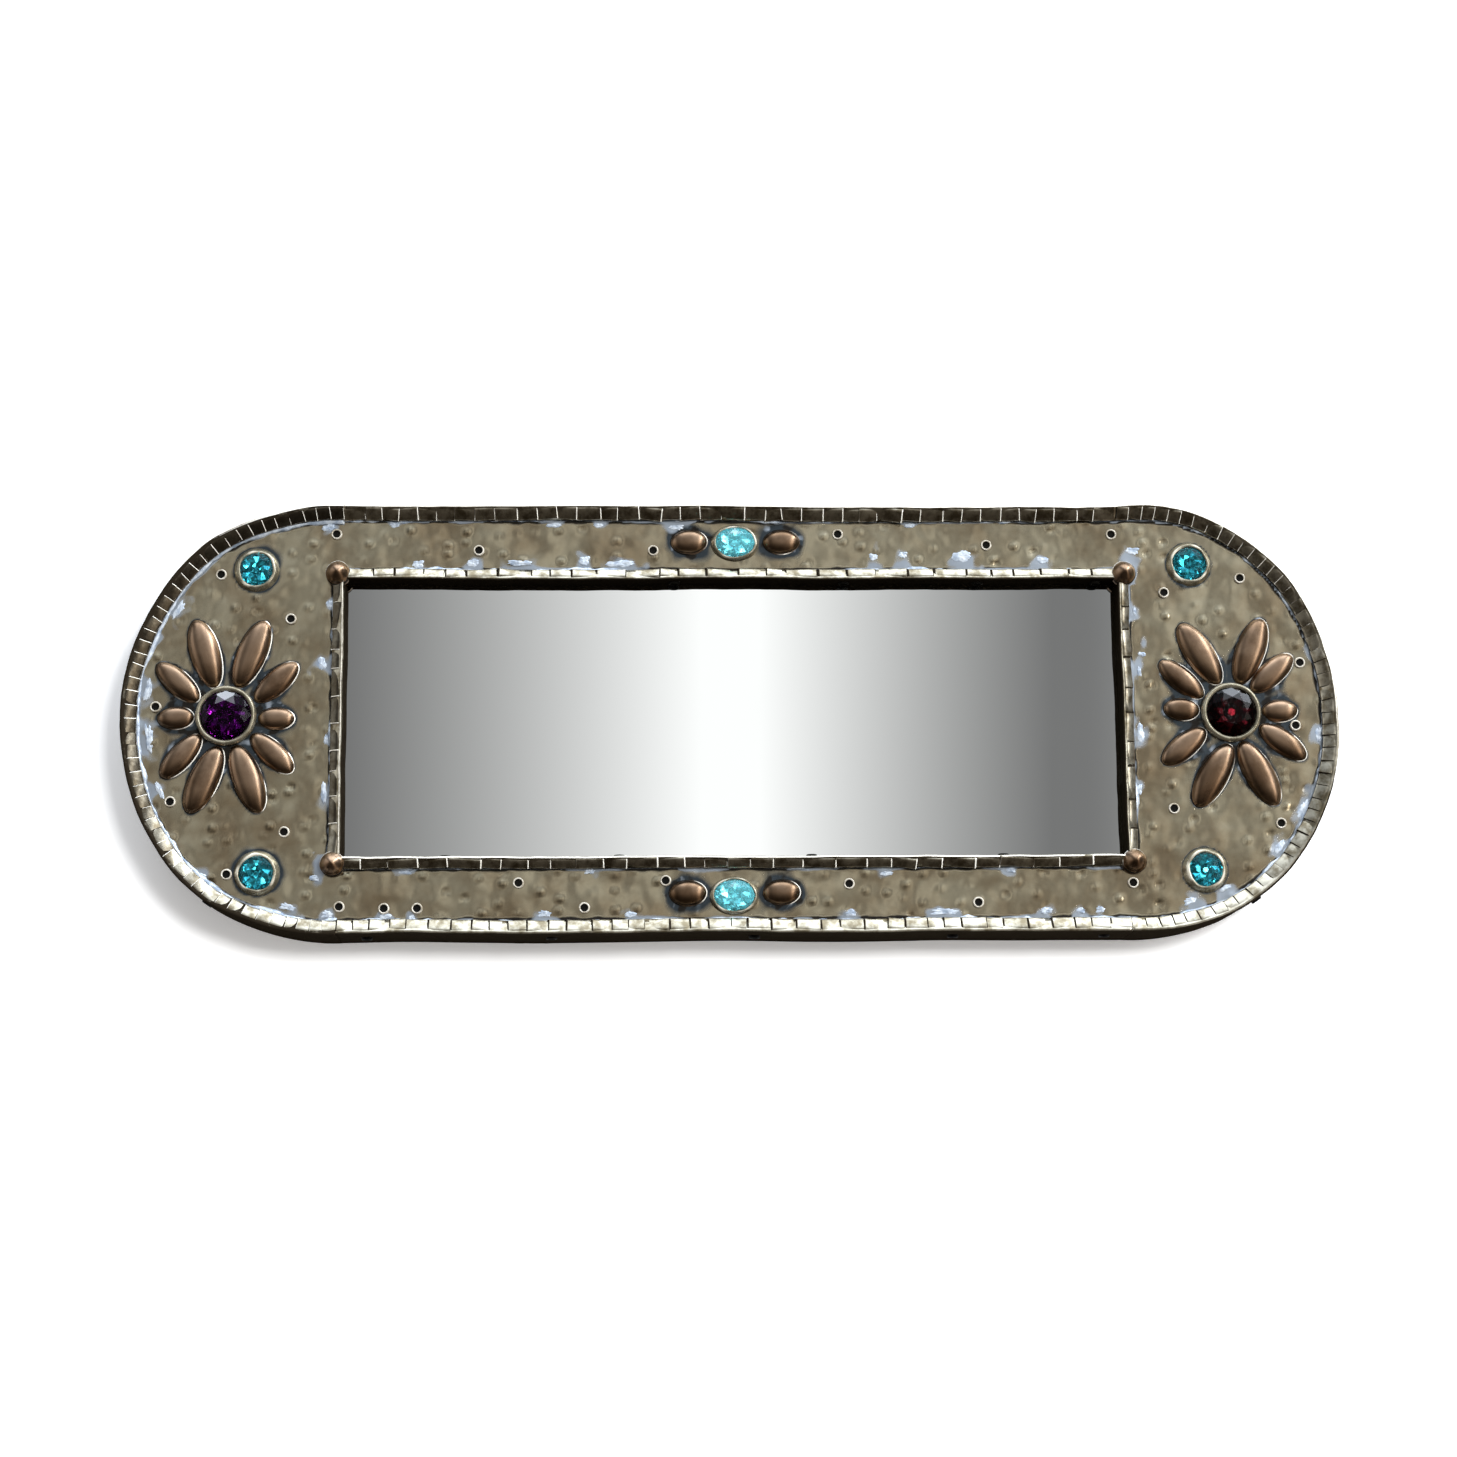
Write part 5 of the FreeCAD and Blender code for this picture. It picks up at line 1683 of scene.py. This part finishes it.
@dataclass
class FacePlate:
    """The hammered face of the frame, with the solder and flux that the work left on it, and painted shade
    round the copper and the stones.

    Attributes:
        sizes: sizes of the frame.
        domes: copper domes soldered to the sheet.
        flowers: the flowers, whose middles the solder has filled.
        gauge: thickness of the sheet.
        inset: how far its edges stay inside the walls of the strips.
        spacing: spacing of its mesh.
        dimple: spacing, radius and height of the punch marks.
        swell: size and height of the broad waves.
        grains: sizes and keys of the unevenness in its marks, from broad to fine.
        points: points of the finished sheet.
    """

    sizes: FrameSizes
    domes: Sequence[Dome]
    flowers: Sequence[Flower]
    gauge: float = 0.8
    inset: float = 1.6
    spacing: float = 1.35
    dimple: tuple[float, float, float] = (10.0, 2.7, 0.95)
    swell: tuple[float, float] = (20.0, 2.0)
    grains: tuple[tuple[float, int], ...] = ((26.0, 6), (7.0, 7), (5.0, 10))
    points: Points = field(init=False)

    def build(self) -> None:
        """Hammer the sheet, mark it and set it in place of its node."""
        sizes, finish = self.sizes, HAMMERED_BRASS.build()
        outline = sizes.end_radius - self.inset
        values = (2 * (sizes.straight_half + outline), 2 * outline, self.spacing, sizes.straight_half,
                  outline, sizes.window_right + self.inset, sizes.window_top + self.inset, *self.dimple,
                  *self.swell, sizes.plate_front)
        metres = {name: value * MM for name, value in zip(HammeredSheet.NUMBERS, values)}
        piece = new_piece("face_plate_hammered", np.zeros((0, 3)), [], [finish])
        HammeredSheet().apply(piece, {**metres, "Seed": float(Seed.HAMMER.value), "Finish": finish})
        thicken(piece, self.gauge)
        self.points = mesh_points(piece.data)
        self.mark(piece)
        install(piece, "hammered_brass", "face_plate")

    def front_at(self, x: float, z: float, reach: float = 2.5) -> float:
        """Depth of the sheet's highest place within a reach of (x, z)."""
        near = np.hypot(self.points[:, 0] - x, self.points[:, 2] - z) < reach
        return float(-self.points[near, 1].min()) if near.any() else self.sizes.plate_front

    def mark(self, piece: Object) -> None:
        """Paint the solder, the grey pool round the petals, painted shade round the corner stones, and the
        dark flux lines, which also stand in for shade in the creases.

        Args:
            piece: the finished sheet.
        """
        plan = self.points[:, (0, 2)]
        seams = self.to_seams(plan)
        seam = np.minimum(*seams)
        to_dome = np.min([dome.distance(plan) for dome in self.domes], axis=0)
        broad, fine, fleck = (lump(self.points * (1, 0, 1), size, key) for size, key in self.grains)
        # Solder wiped along the seams in a line of uneven width, and out over the sheet in patches.
        wiped = np.clip(1.1 - seam / (0.2 + 5.0 * np.clip(broad + 0.3 * fine, 0, 1)), 0, 1) * (seam < 9)
        wiped = np.maximum(wiped, self.patches(plan, seams, 0.7 * fine + 0.5 * fleck))
        # Grey pool round the copper, partly painted shade beside the oval stones, and painted shade round the
        # corner stones.
        gap = self.pool_width(plan) * (0.6 + 0.9 * np.clip(0.5 + fine, 0, 1))
        halo = np.clip(1.1 - self.to_stones(plan) / (0.8 + 4.5 * np.clip(broad + 0.6 * fine, 0, 1)), 0, 1)
        pool = np.maximum(np.clip(1.25 - to_dome / gap, 0, 1), halo)
        # Pale and burnt flecks in the pool, and dark lines of flux along the seams and round the copper,
        # which also stand in for the shade in those creases.
        blue = np.clip(3.0 * (fleck - 0.12), 0, 1) * np.clip(1.4 - to_dome / (0.7 * gap), 0, 1) * 0.66
        burnt = np.clip(3.0 * (0.02 - fleck), 0, 1) * np.clip(1.2 - to_dome / gap, 0, 1)
        line = np.clip(1.2 - seam / (2.2 + 1.6 * fine), 0, 1) + np.clip(1 - to_dome / 1.6, 0, 1) * 0.6
        paint(piece, solder=np.maximum(wiped, blue), pool=pool, flux=np.clip(np.maximum(line, burnt), 0, 1))

    def to_seams(self, plan: Points) -> tuple[Points, Points]:
        """Measure how far places are from the feet of the flanges.

        Args:
            plan: places on the sheet, as (x, z).

        Returns:
            Distances from the outer edge's seam and from the window's.
        """
        sizes = self.sizes
        beyond = np.maximum(np.abs(plan[:, 0]) - sizes.straight_half, 0)
        to_edge = sizes.foot_radius + bulge(plan, sizes.straight_half) - np.hypot(beyond, plan[:, 1])
        out_x = np.abs(plan[:, 0]) - sizes.window_right - sizes.window_flange
        out_z = np.abs(plan[:, 1]) - sizes.window_top - sizes.window_flange
        return to_edge, np.maximum(out_x, out_z)

    def pool_width(self, plan: Points) -> Points:
        """Width of the grey pool round the copper, partly painted shade: wide in the flowers and beside the
        oval stones.

        Args:
            plan: places on the sheet, as (x, z).

        Returns:
            The width that the pool would have at each place.
        """
        centres = [flower.bezel.centre[[0, 2]] for flower in self.flowers]
        from_middle = np.min([np.hypot(*(plan - centre).T) for centre in centres], axis=0)
        in_flower = np.interp(from_middle, (0, 24, 34, 44), (9.0, 7.0, 2.6, 1.3))
        return np.maximum(in_flower, np.interp(np.abs(plan[:, 0]), (32, 44), (5.0, 1.3)))

    def to_stones(self, plan: Points) -> Points:
        """Measure how far places are from the nearest corner stone's collar.

        Args:
            plan: places on the sheet, as (x, z).

        Returns:
            Distances, negative inside.
        """
        boxes = [Box.of(f"corner_gem_{corner}") for corner in CORNERS]
        away = [np.hypot(*(plan - box.centre[[0, 2]]).T) - box.half[0] - CORNER_SKIRT for box in boxes]
        return np.min(away, axis=0)

    def patches(self, plan: Points, seams: Sequence[Points], fray: Points) -> Points:
        """Where solder was wiped out over the sheet from the seams.

        Args:
            plan: places on the sheet, as (x, z).
            seams: their distance from each seam.
            fray: how much each place eats into a patch's edge.

        Returns:
            1 within a patch, falling to 0 past its edge.
        """
        nowhere = 9
        spread = np.zeros(len(plan))
        for x, z, length, width in PATCHES:
            along = np.array(seam_heading(self.sizes, x, z))[[0, 2]]
            away = plan - (x, z)
            run, across = away @ along, away @ np.array([-along[1], along[0]])
            near = np.argmin(np.hypot(run, across))
            seam = min(seams, key=lambda one: one[near])
            far = max(seam[near], 0.0) + width / 2
            reach = np.hypot(run / (length / 2 + 0.5), np.maximum(seam, 0) / far)
            reach = np.where(np.abs(across) < far + width / 2 + 1, reach, nowhere)
            spread = np.maximum(spread, np.clip(1.3 - reach + fray, 0, 1))
        return spread


# Outline of a cone at a corner of the window: share of its radius, share of its height, solder on it.
KNOB = ((1.08, -0.02, 0.0), (1.08, 0.33, 0.6), (1.05, 0.40, 1.0), (0.98, 0.44, 0.0), (0.93, 0.55, 0.0),
        (0.80, 0.68, 0.0), (0.62, 0.80, 0.0), (0.40, 0.90, 0.0), (0.20, 0.965, 0.0), (0.07, 0.995, 0.0),
        (0.0, 1.0, 0.0))
# Outline of a nail's head: radius, height, how dark it is painted.
NAIL = ((2.95, -0.6, 0.0), (2.95, 0.5, 0.0), (2.8, 1.0, 0.0), (2.55, 1.25, 0.0), (2.3, 1.24, 0.0),
        (2.05, 1.0, 0.3), (1.9, 0.7, 0.8), (1.8, 0.5, 1.0), (0.8, 0.45, 1.0), (0.0, 0.45, 1.0))
# Painted shade on the nails of the walls: how dark at least their whole head is painted.
WALL_NAIL_DIRT = 0.60
# Outline of a lump of solder: radius, height.
LUMP = ((1.0, -0.3), (0.99, 0.12), (0.9, 0.36), (0.72, 0.52), (0.45, 0.62), (0.2, 0.6), (0.0, 0.6))
LUMP_SHAPES = 3
# Section of a bead of solder: share of its half width, share of its height.
BEAD = ((-1.0, -0.15), (-0.6, 0.62), (0.0, 1.0), (0.6, 0.62), (1.0, -0.15), (0.0, -0.6))


@dataclass
class SmallWork:
    """Copper knobs and domes, nails and lumps of solder.

    Attributes:
        sizes: sizes of the frame.
        scatter: tree that scatters patterns.
        sheet: sheet that the small pieces sit on.
        round_sides: divisions of a cone and of a lump of solder.
        nail_sides: divisions of a nail's head.
        bead_step: spacing of the mesh along a bead.
        wall_reach: how far from the window's edge a nail still belongs to the window's wall.
    """

    sizes: FrameSizes
    scatter: Scatter
    sheet: FacePlate
    round_sides: int = 40
    nail_sides: int = 20
    bead_step: float = 1.5
    wall_reach: float = 13.0

    def knobs(self) -> None:
        """Build the rounded cones at the corners of the window."""
        solder = np.array([share for _, _, share in KNOB])
        # The solder at each cone's foot is painted bright on its upper left, a painted highlight, and dark
        # round the rest, a painted shade.
        rubbed = np.clip(0.5 + 0.7 * np.cos(circle(self.round_sides) - 2.0), 0, 1)
        for corner in CORNERS:
            node = f"corner_knob_{corner}"
            box = Box.of(node)
            outline = [(wide * box.half[0], tall * 2 * box.half[1]) for wide, tall, _ in KNOB]
            points, faces = revolve(outline, self.round_sides)
            x, z, rise = points.T
            points = np.stack([x + box.centre[0], box.high[1] - rise, z + box.centre[2]], 1)
            points[:, (0, 2)] += lump(points, 6.0, 8)[:, None] * 0.25
            piece = new_piece(f"{node}_cone", points, faces, [SATIN_COPPER.build()])
            paint(piece, wear=np.outer(solder, rubbed), flux=np.outer(solder > 0, 1 - rubbed))
            install(piece, "copper", node)

    def domes(self, domes: Sequence[Dome]) -> None:
        """Build the domes beside the oval stones."""
        pieces = [dome.build(self.sizes.plate_front) for dome in domes]
        install(join("oval_domes_pressed", pieces), "copper", "oval_domes")

    def nails(self) -> None:
        """Build the ring-headed nails of the face and of the walls."""
        finish = NAIL_BRASS.build()
        points, faces = revolve([(radius, height) for radius, height, _ in NAIL], self.nail_sides)
        dirt = np.repeat([share for _, _, share in NAIL], self.nail_sides)
        pattern = new_piece("nail_pattern", points, faces, [finish])
        # Each nail is painted near black in its cup; the nails of the walls are darkened over the whole head,
        # a painted shade.
        sets = (("face_nails", self.face_spot, dirt),
                ("strip_nails", self.wall_spot, np.maximum(dirt, WALL_NAIL_DIRT)))
        for node, spot, cup in sets:
            paint(pattern, cup=cup)
            spots = [spot(Box.around(group).centre) for group in islands(node)]
            install(self.scatter.spread(f"{node}_set", pattern, finish, spots), "nail_brass", node)
        bpy.data.objects.remove(pattern)

    def face_spot(self, middle: Points) -> Spot:
        """Place of a nail in the face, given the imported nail's middle: on top of the hammered sheet."""
        return Spot((middle[0], -self.sheet.front_at(middle[0], middle[2]), middle[2]), (0, -1, 0))

    def wall_spot(self, middle: Points) -> Spot:
        """Place a nail of a wall: on the outer wall, or facing into the window.

        Args:
            middle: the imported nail's middle.

        Returns:
            Where the nail goes.
        """
        sizes = self.sizes
        beyond = math.copysign(max(abs(middle[0]) - sizes.straight_half, 0.0), middle[0])
        away = np.array([beyond, middle[2]])
        outward = away / np.linalg.norm(away)
        if abs(middle[0]) < sizes.window_right and abs(middle[2]) < sizes.window_top + self.wall_reach:
            return Spot((middle[0], middle[1], outward[1] * sizes.window_top), (0, 0, -outward[1]))
        reach = sizes.end_radius + bulge(middle[[0, 2]], sizes.straight_half)
        root = np.array([middle[0] - beyond, 0.0]) + outward * reach
        return Spot((root[0], middle[1], root[1]), (outward[0], 0, outward[1]), (0, -1, 0))

    def solder(self, edges: Sequence[SnippedStrips]) -> None:
        """Build the beads along the feet of the flanges, and the patches where the iron dwelt.

        Args:
            edges: the strips of the outer edge and of the window.
        """
        finish = TIN_SOLDER.build()
        pieces = [self.bead(strips, run) for strips in edges for run in strips.runs]
        for shape in range(LUMP_SHAPES):
            points, faces = revolve(LUMP, self.round_sides)
            flat, key = points * (1, 1, 0), Seed.SOLDER.value + shape
            points[:, :2] *= (1 + 0.5 * lump(flat, 0.8, key) + 0.4 * lump(flat, 0.3, key))[:, None]
            points[:, 2] *= 0.8 + 0.8 * lump(flat, 0.4, shape)
            pattern = new_piece("solder_pattern", points, faces, [finish])
            spots = [Spot((x, -self.sheet.front_at(x, z, 1.5), z), (0, -1, 0), seam_heading(self.sizes, x, z),
                          (0.3 * length, 0.3 * width, 0.6))
                     for x, z, length, width in PATCHES[shape::LUMP_SHAPES]]
            pieces.append(self.scatter.spread(f"solder_patches_{shape}", pattern, finish, spots))
            bpy.data.objects.remove(pattern)
        install(join("solder_lumps", pieces), "solder", "solder_seams")

    def bead(self, strips: SnippedStrips, run: Run) -> Object:
        """Make the uneven line of solder along the foot of one flange.

        Args:
            strips: the strips of this edge.
            run: one strip's line.

        Returns:
            A closed strip of solder, thick where the iron dwelt and thin elsewhere.
        """
        section = np.array(BEAD)
        count, rows = int(run.length / self.bead_step), len(section)
        walked = np.linspace(0, run.length, count)
        foot = strips.reach + strips.stray(run, walked)
        line = run.at(walked, foot, self.sizes.plate_front) * (1, 0, 1)
        dwell = lump(line, 13.0, 15) + 0.45 * lump(line, 4.0, 16) + FILL[run.node] - 0.5
        half = np.clip(0.35 + 2.4 * dwell, 0.12, 2.4)[:, None]
        points = run.at(walked[:, None], foot[:, None] + half * section[:, 0],
                        self.sizes.plate_front + np.sqrt(half) * 0.75 * section[:, 1])
        last = (count - 1) * rows
        caps = [tuple(reversed(range(rows))), tuple(range(last, last + rows))]
        faces = lattice(count, rows, wrap=True) + caps
        return new_piece(f"{run.node}_bead", points.reshape(-1, 3), faces, [TIN_SOLDER.build()])


class PlainParts:
    """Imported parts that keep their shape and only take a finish."""

    FINISHES = {"mirror_glass": MIRROR, "back_board": HARDBOARD, "packing_board": HARDBOARD, "core": PINE,
                "back_screws": ZINC_STEEL, "hanger": ZINC_STEEL}

    def build(self) -> None:
        """Give each remaining part its material."""
        for node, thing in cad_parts.items():
            for start, finish in self.FINISHES.items():
                if node.startswith(start):
                    thing.data.materials.clear()
                    thing.data.materials.append(finish.build())
                    log.info("%s keeps its shape", node)


# Brightness and colour of the room by height, from straight down to straight up.
SKY = ((-1.0, 0.03, "#ffe9d0"), (-0.62, 0.045, "#ffe9d0"), (-0.28, 0.12, "#fff3e4"), (0.0, 0.34, "#fff8f0"),
       (0.19, 0.46, "#ffffff"), (0.45, 0.58, "#f4f9ff"), (0.75, 1.20, "#ecf4ff"), (0.88, 3.00, "#eaf3ff"),
       (0.95, 3.8, "#eaf3ff"), (1.0, 3.8, "#eaf3ff"))
# Share of that brightness from far left to far right.
SIDES = ((-1.0, 1.8), (-0.84, 2.2), (-0.74, 0.5), (-0.60, 0.25), (-0.36, 1.0), (-0.20, 1.4), (-0.04, 1.0),
         (0.14, 1.05), (0.24, 1.6), (0.34, 2.2), (0.50, 1.1), (0.57, 1.4), (0.63, 10.0), (0.71, 16.0),
         (0.74, 10.0), (0.78, 0.5), (0.88, 0.25), (1.0, 0.2))
# Soft square lamps: name, place, side and power in watts.
LAMPS = (("key_softbox", (1100, -1650, 400), 900, 18.0), ("front_fill", (560, -1960, 300), 420, 30.0),
         ("back_fill", (-500, 1900, 600), 900, 45.0))


@dataclass(frozen=True)
class PaleBand:
    """Upright white band in front of the mirror, fading to grey on both sides.

    Places are slopes to the right of straight ahead.

    Attributes:
        tilt: the camera's height angle, in degrees.
        middle: its middle.
        half_white: half the width of the white.
        left_reach: how far the grey runs to the left.
        right_reach: how far the grey runs to the right.
        white: brightness of the white, before the contrast.
        grey: brightness of the grey, before the contrast.
        contrast: power that both are raised to.
        fade: how far past the grey its soft edge ends.
        margin: how far past the grey its soft edge starts.
        heights: upward part of the direction where it starts, is full, begins to fade and ends.
        ahead: forward part of the direction where it starts and is full.
    """

    tilt: float
    middle: float = 0.034
    half_white: float = 0.011
    left_reach: float = 0.143
    right_reach: float = 0.121
    white: float = 1.03
    grey: float = 0.482
    contrast: float = 2.25
    fade: float = 0.08
    margin: float = 0.01
    heights: tuple[float, float, float, float] = (0.02, 0.08, 0.32, 0.40)
    ahead: tuple[float, float] = (0.80, 0.90)

    def build(self, tree: NodeTree, part: Any) -> tuple[NodeSocket, NodeSocket]:
        """Add the band to the room.

        Args:
            tree: the world's nodes.
            part: outputs of the direction's parts.

        Returns:
            Where the band is seen, and its brightness.
        """
        tilt = math.radians(self.tilt)
        ahead = calc(tree, "MULTIPLY", part["Y"], -1.0)
        raised = calc(tree, "MULTIPLY", part["Z"], -math.sin(tilt))
        facing = calc(tree, "MAXIMUM", calc(tree, "MULTIPLY_ADD", ahead, math.cos(tilt), raised), 0.01)
        slant = calc(tree, "DIVIDE", part["X"], facing)
        spans = ((-self.half_white, -self.left_reach), (self.half_white, self.right_reach))
        sides = [remap(tree, slant, self.middle + near, self.middle + far, self.white, self.grey)
                 for near, far in spans]
        band = calc(tree, "POWER", calc(tree, "MINIMUM", *sides), self.contrast)
        left, right = self.middle - self.left_reach, self.middle + self.right_reach
        start, full, waning, end = self.heights
        limits = ((part["Z"], start, full), (part["Z"], end, waning), (ahead, *self.ahead),
                  (slant, left - self.fade, left - self.margin),
                  (slant, right + self.fade, right + self.margin))
        zone: Value = 1.0
        for value, low, high in limits:
            zone = calc(tree, "MULTIPLY", remap(tree, value, low, high, smooth=True), zone)
        return zone, band


@dataclass(frozen=True)
class Studio:
    """A white wall, soft light from above and the right, and the photograph's camera.

    Attributes:
        azimuth: camera's turn to the viewer's right, in degrees.
        elevation: camera's height angle, in degrees.
        roll: camera's roll, in degrees.
        distance: camera's distance from its target.
        target: point that it looks at.
        lens: focal length.
        sensor: width of the sensor.
        wall_half: half the width of the wall.
        wall_gap: gap between the wall and the mirror's back.
    """

    azimuth: float = -1.937
    elevation: float = -11.013
    roll: float = -0.481
    distance: float = 1400.0
    target: tuple[float, float, float] = (-2.75, -30.0, -5.49)
    lens: float = 66.0
    sensor: float = 36.0
    wall_half: float = 4000.0
    wall_gap: float = 0.4

    def build(self) -> None:
        """Set up the wall, the surroundings, the lamps and the camera."""
        self.wall()
        self.surroundings()
        for lamp in LAMPS:
            self.lamp(*lamp)
        self.camera()
        bpy.context.scene.view_settings.view_transform = "Standard"

    def wall(self) -> None:
        """Set up a white wall that keeps the shadow, seen only from the room."""
        half, gap = self.wall_half, self.wall_gap
        corners = [(-half, gap, -half), (half, gap, -half), (half, gap, half), (-half, gap, half)]
        material, tree = new_material("white_wall_paint")
        coat = add_node(tree, "ShaderNodeBsdfDiffuse", {"Color": linear("#f4f4f4")})
        path = add_node(tree, "ShaderNodeLightPath").outputs
        seen = calc(tree, "MAXIMUM", path["Is Camera Ray"], path["Is Glossy Ray"])
        seen = calc(tree, "MAXIMUM", seen, path["Is Transmission Ray"])
        glow = add_node(tree, "ShaderNodeEmission", {"Strength": calc(tree, "MULTIPLY", seen, 0.30)})
        lit = add_node(tree, "ShaderNodeAddShader", {0: coat.outputs[0], 1: glow.outputs[0]})
        clear = add_node(tree, "ShaderNodeBsdfTransparent")
        behind = add_node(tree, "ShaderNodeNewGeometry").outputs["Backfacing"]
        open_side = calc(tree, "MAXIMUM", behind, path["Is Shadow Ray"])
        sided = add_node(tree, "ShaderNodeMixShader", {0: open_side, 1: lit.outputs[0], 2: clear.outputs[0]})
        add_node(tree, "ShaderNodeOutputMaterial", {"Surface": sided.outputs[0]})
        new_piece("wall", corners, [(0, 1, 2, 3)], [material], smooth=False)

    def surroundings(self) -> None:
        """Set up a room that is cool and bright above, dim below and left, white to the camera.

        The mirror looks straight out into it, at a pale upright band between grey walls.
        """
        world = bpy.data.worlds.new("studio_room")
        world.use_nodes = True
        bpy.context.scene.world = world
        tree = world.node_tree
        tree.nodes.clear()
        way = add_node(tree, "ShaderNodeTexCoord").outputs["Generated"]
        part = add_node(tree, "ShaderNodeSeparateXYZ", {0: way}).outputs
        peak = SKY[-1][1]
        sky = self.ramp(tree, part["Z"], [
            (height, [channel * level / peak for channel in linear(hue)[:3]]) for height, level, hue in SKY])
        side = self.ramp(tree, part["X"], [(reach, [level] * 3) for reach, level in SIDES])
        room = add_node(tree, "ShaderNodeVectorMath", {
            0: sky, "Scale": calc(tree, "MULTIPLY", side, peak)}, operation="SCALE")
        zone, band = PaleBand(self.elevation).build(tree, part)
        seen = blend(tree, zone, room.outputs[0], band)
        path = add_node(tree, "ShaderNodeLightPath").outputs
        lit = blend(tree, path["Is Camera Ray"], seen, (1.0, 1.0, 1.0, 1.0))
        glow = add_node(tree, "ShaderNodeBackground", {"Color": lit})
        add_node(tree, "ShaderNodeOutputWorld", {"Surface": glow.outputs[0]})

    @staticmethod
    def ramp(tree: NodeTree, value: NodeSocket, stops: Sequence[tuple[float, list[float]]]) -> NodeSocket:
        """Choose a colour by a value from -1 to 1.

        Args:
            tree: the world's nodes.
            value: the value.
            stops: values and their colours, from -1 to 1.

        Returns:
            The colour.
        """
        ramp = add_node(tree, "ShaderNodeValToRGB", {0: remap(tree, value, -1.0, 1.0)})
        for place, _ in stops[1:-1]:
            ramp.color_ramp.elements.new((place + 1) / 2)
        for stop, (_, colour) in zip(ramp.color_ramp.elements, stops):
            stop.color = [*colour, 1.0]
        return ramp.outputs[0]

    @staticmethod
    def lamp(name: str, place: tuple[float, float, float], size: float, power: float) -> None:
        """Add a soft square lamp that faces the mirror; the metal shows the room instead of it.

        Args:
            name: lamp name.
            place: its place.
            size: its side.
            power: its power in watts.
        """
        data = bpy.data.lights.new(name, "AREA")
        data.size = size * MM
        data.energy = power
        lamp = bpy.data.objects.new(name, data)
        lamp.visible_glossy = False
        lamp.location = Vector(place) * MM
        lamp.rotation_euler = (-Vector(place)).to_track_quat("-Z", "Y").to_euler()
        bpy.context.scene.collection.objects.link(lamp)

    def camera(self) -> None:
        """Place the camera where the photograph was taken from."""
        azimuth, elevation, roll = (math.radians(a) for a in (self.azimuth, self.elevation, self.roll))
        back = Vector((math.sin(azimuth) * math.cos(elevation), -math.cos(azimuth) * math.cos(elevation),
                       math.sin(elevation)))
        right = (-back).cross(Vector((0, 0, 1))).normalized()
        up = right.cross(-back)
        rolled = right * math.cos(roll) + up * math.sin(roll)
        upright = up * math.cos(roll) - right * math.sin(roll)
        data = bpy.data.cameras.new("photo_camera")
        data.lens = self.lens
        data.sensor_width = self.sensor
        eye = bpy.data.objects.new("photo_camera", data)
        eye.matrix_world = Matrix.Translation((Vector(self.target) + back * self.distance) * MM) @ Matrix(
            (rolled, upright, back)).transposed().to_4x4()
        bpy.context.scene.collection.objects.link(eye)
        bpy.context.scene.camera = eye


def main() -> None:
    """Build every sub-assembly in order, then the studio."""
    logging.basicConfig(level=logging.INFO, format="%(name)s %(message)s")
    sizes = FrameSizes.read()
    scatter = Scatter()
    plate = sizes.plate_front
    flowers = [Flower(Side.LEFT, PURPLE_GLASS, plate), Flower(Side.RIGHT, GARNET_GLASS, plate)]
    oval_domes = [Dome.read(f"oval_dome_{step}", group) for step, group in enumerate(islands("oval_domes"))]
    petals = [petal for flower in flowers for petal in flower.petals.values()]
    sheet = FacePlate(sizes, petals + oval_domes, flowers)
    sheet.build()
    edge = SnippedStrips(
        edge_runs(sizes), back=0.0, crest=sizes.crest, foot=plate + 1.7,
        reach=sizes.foot_radius - sizes.end_radius, tab_widths=(8.0, 13.0, 6.0, 8.0), wander=1.3,
        seed=Seed.EDGE_SNIPS, straight_half=sizes.straight_half)
    window = SnippedStrips(
        window_runs(sizes), back=sizes.window_back, crest=sizes.window_crest, foot=plate + 1.9,
        reach=sizes.window_flange, tab_widths=(9.5, 18.0, 9.5, 18.0), wander=0.7,
        seed=Seed.WINDOW_SNIPS, fold=0.9)
    for strips in (edge, window):
        strips.build(scatter)
    for flower in flowers:
        flower.build()
    corner_stones = [f"corner_gem_{corner}" for corner in CORNERS]
    StoneWork(corner_stones, "corner_collars", AQUA_GLASS, (CORNER_SKIRT, CORNER_SKIRT), 0.8, plate).build()
    oval_stones = ["oval_gem_top", "oval_gem_bottom"]
    StoneWork(oval_stones, "oval_collars", PALE_AQUA_GLASS, (2.2, 1.9), 0.6, plate).build()
    small = SmallWork(sizes, scatter, sheet)
    small.knobs()
    small.domes(oval_domes)
    small.nails()
    small.solder((edge, window))
    PlainParts().build()
    Studio().build()


if __name__ == "__main__":
    main()
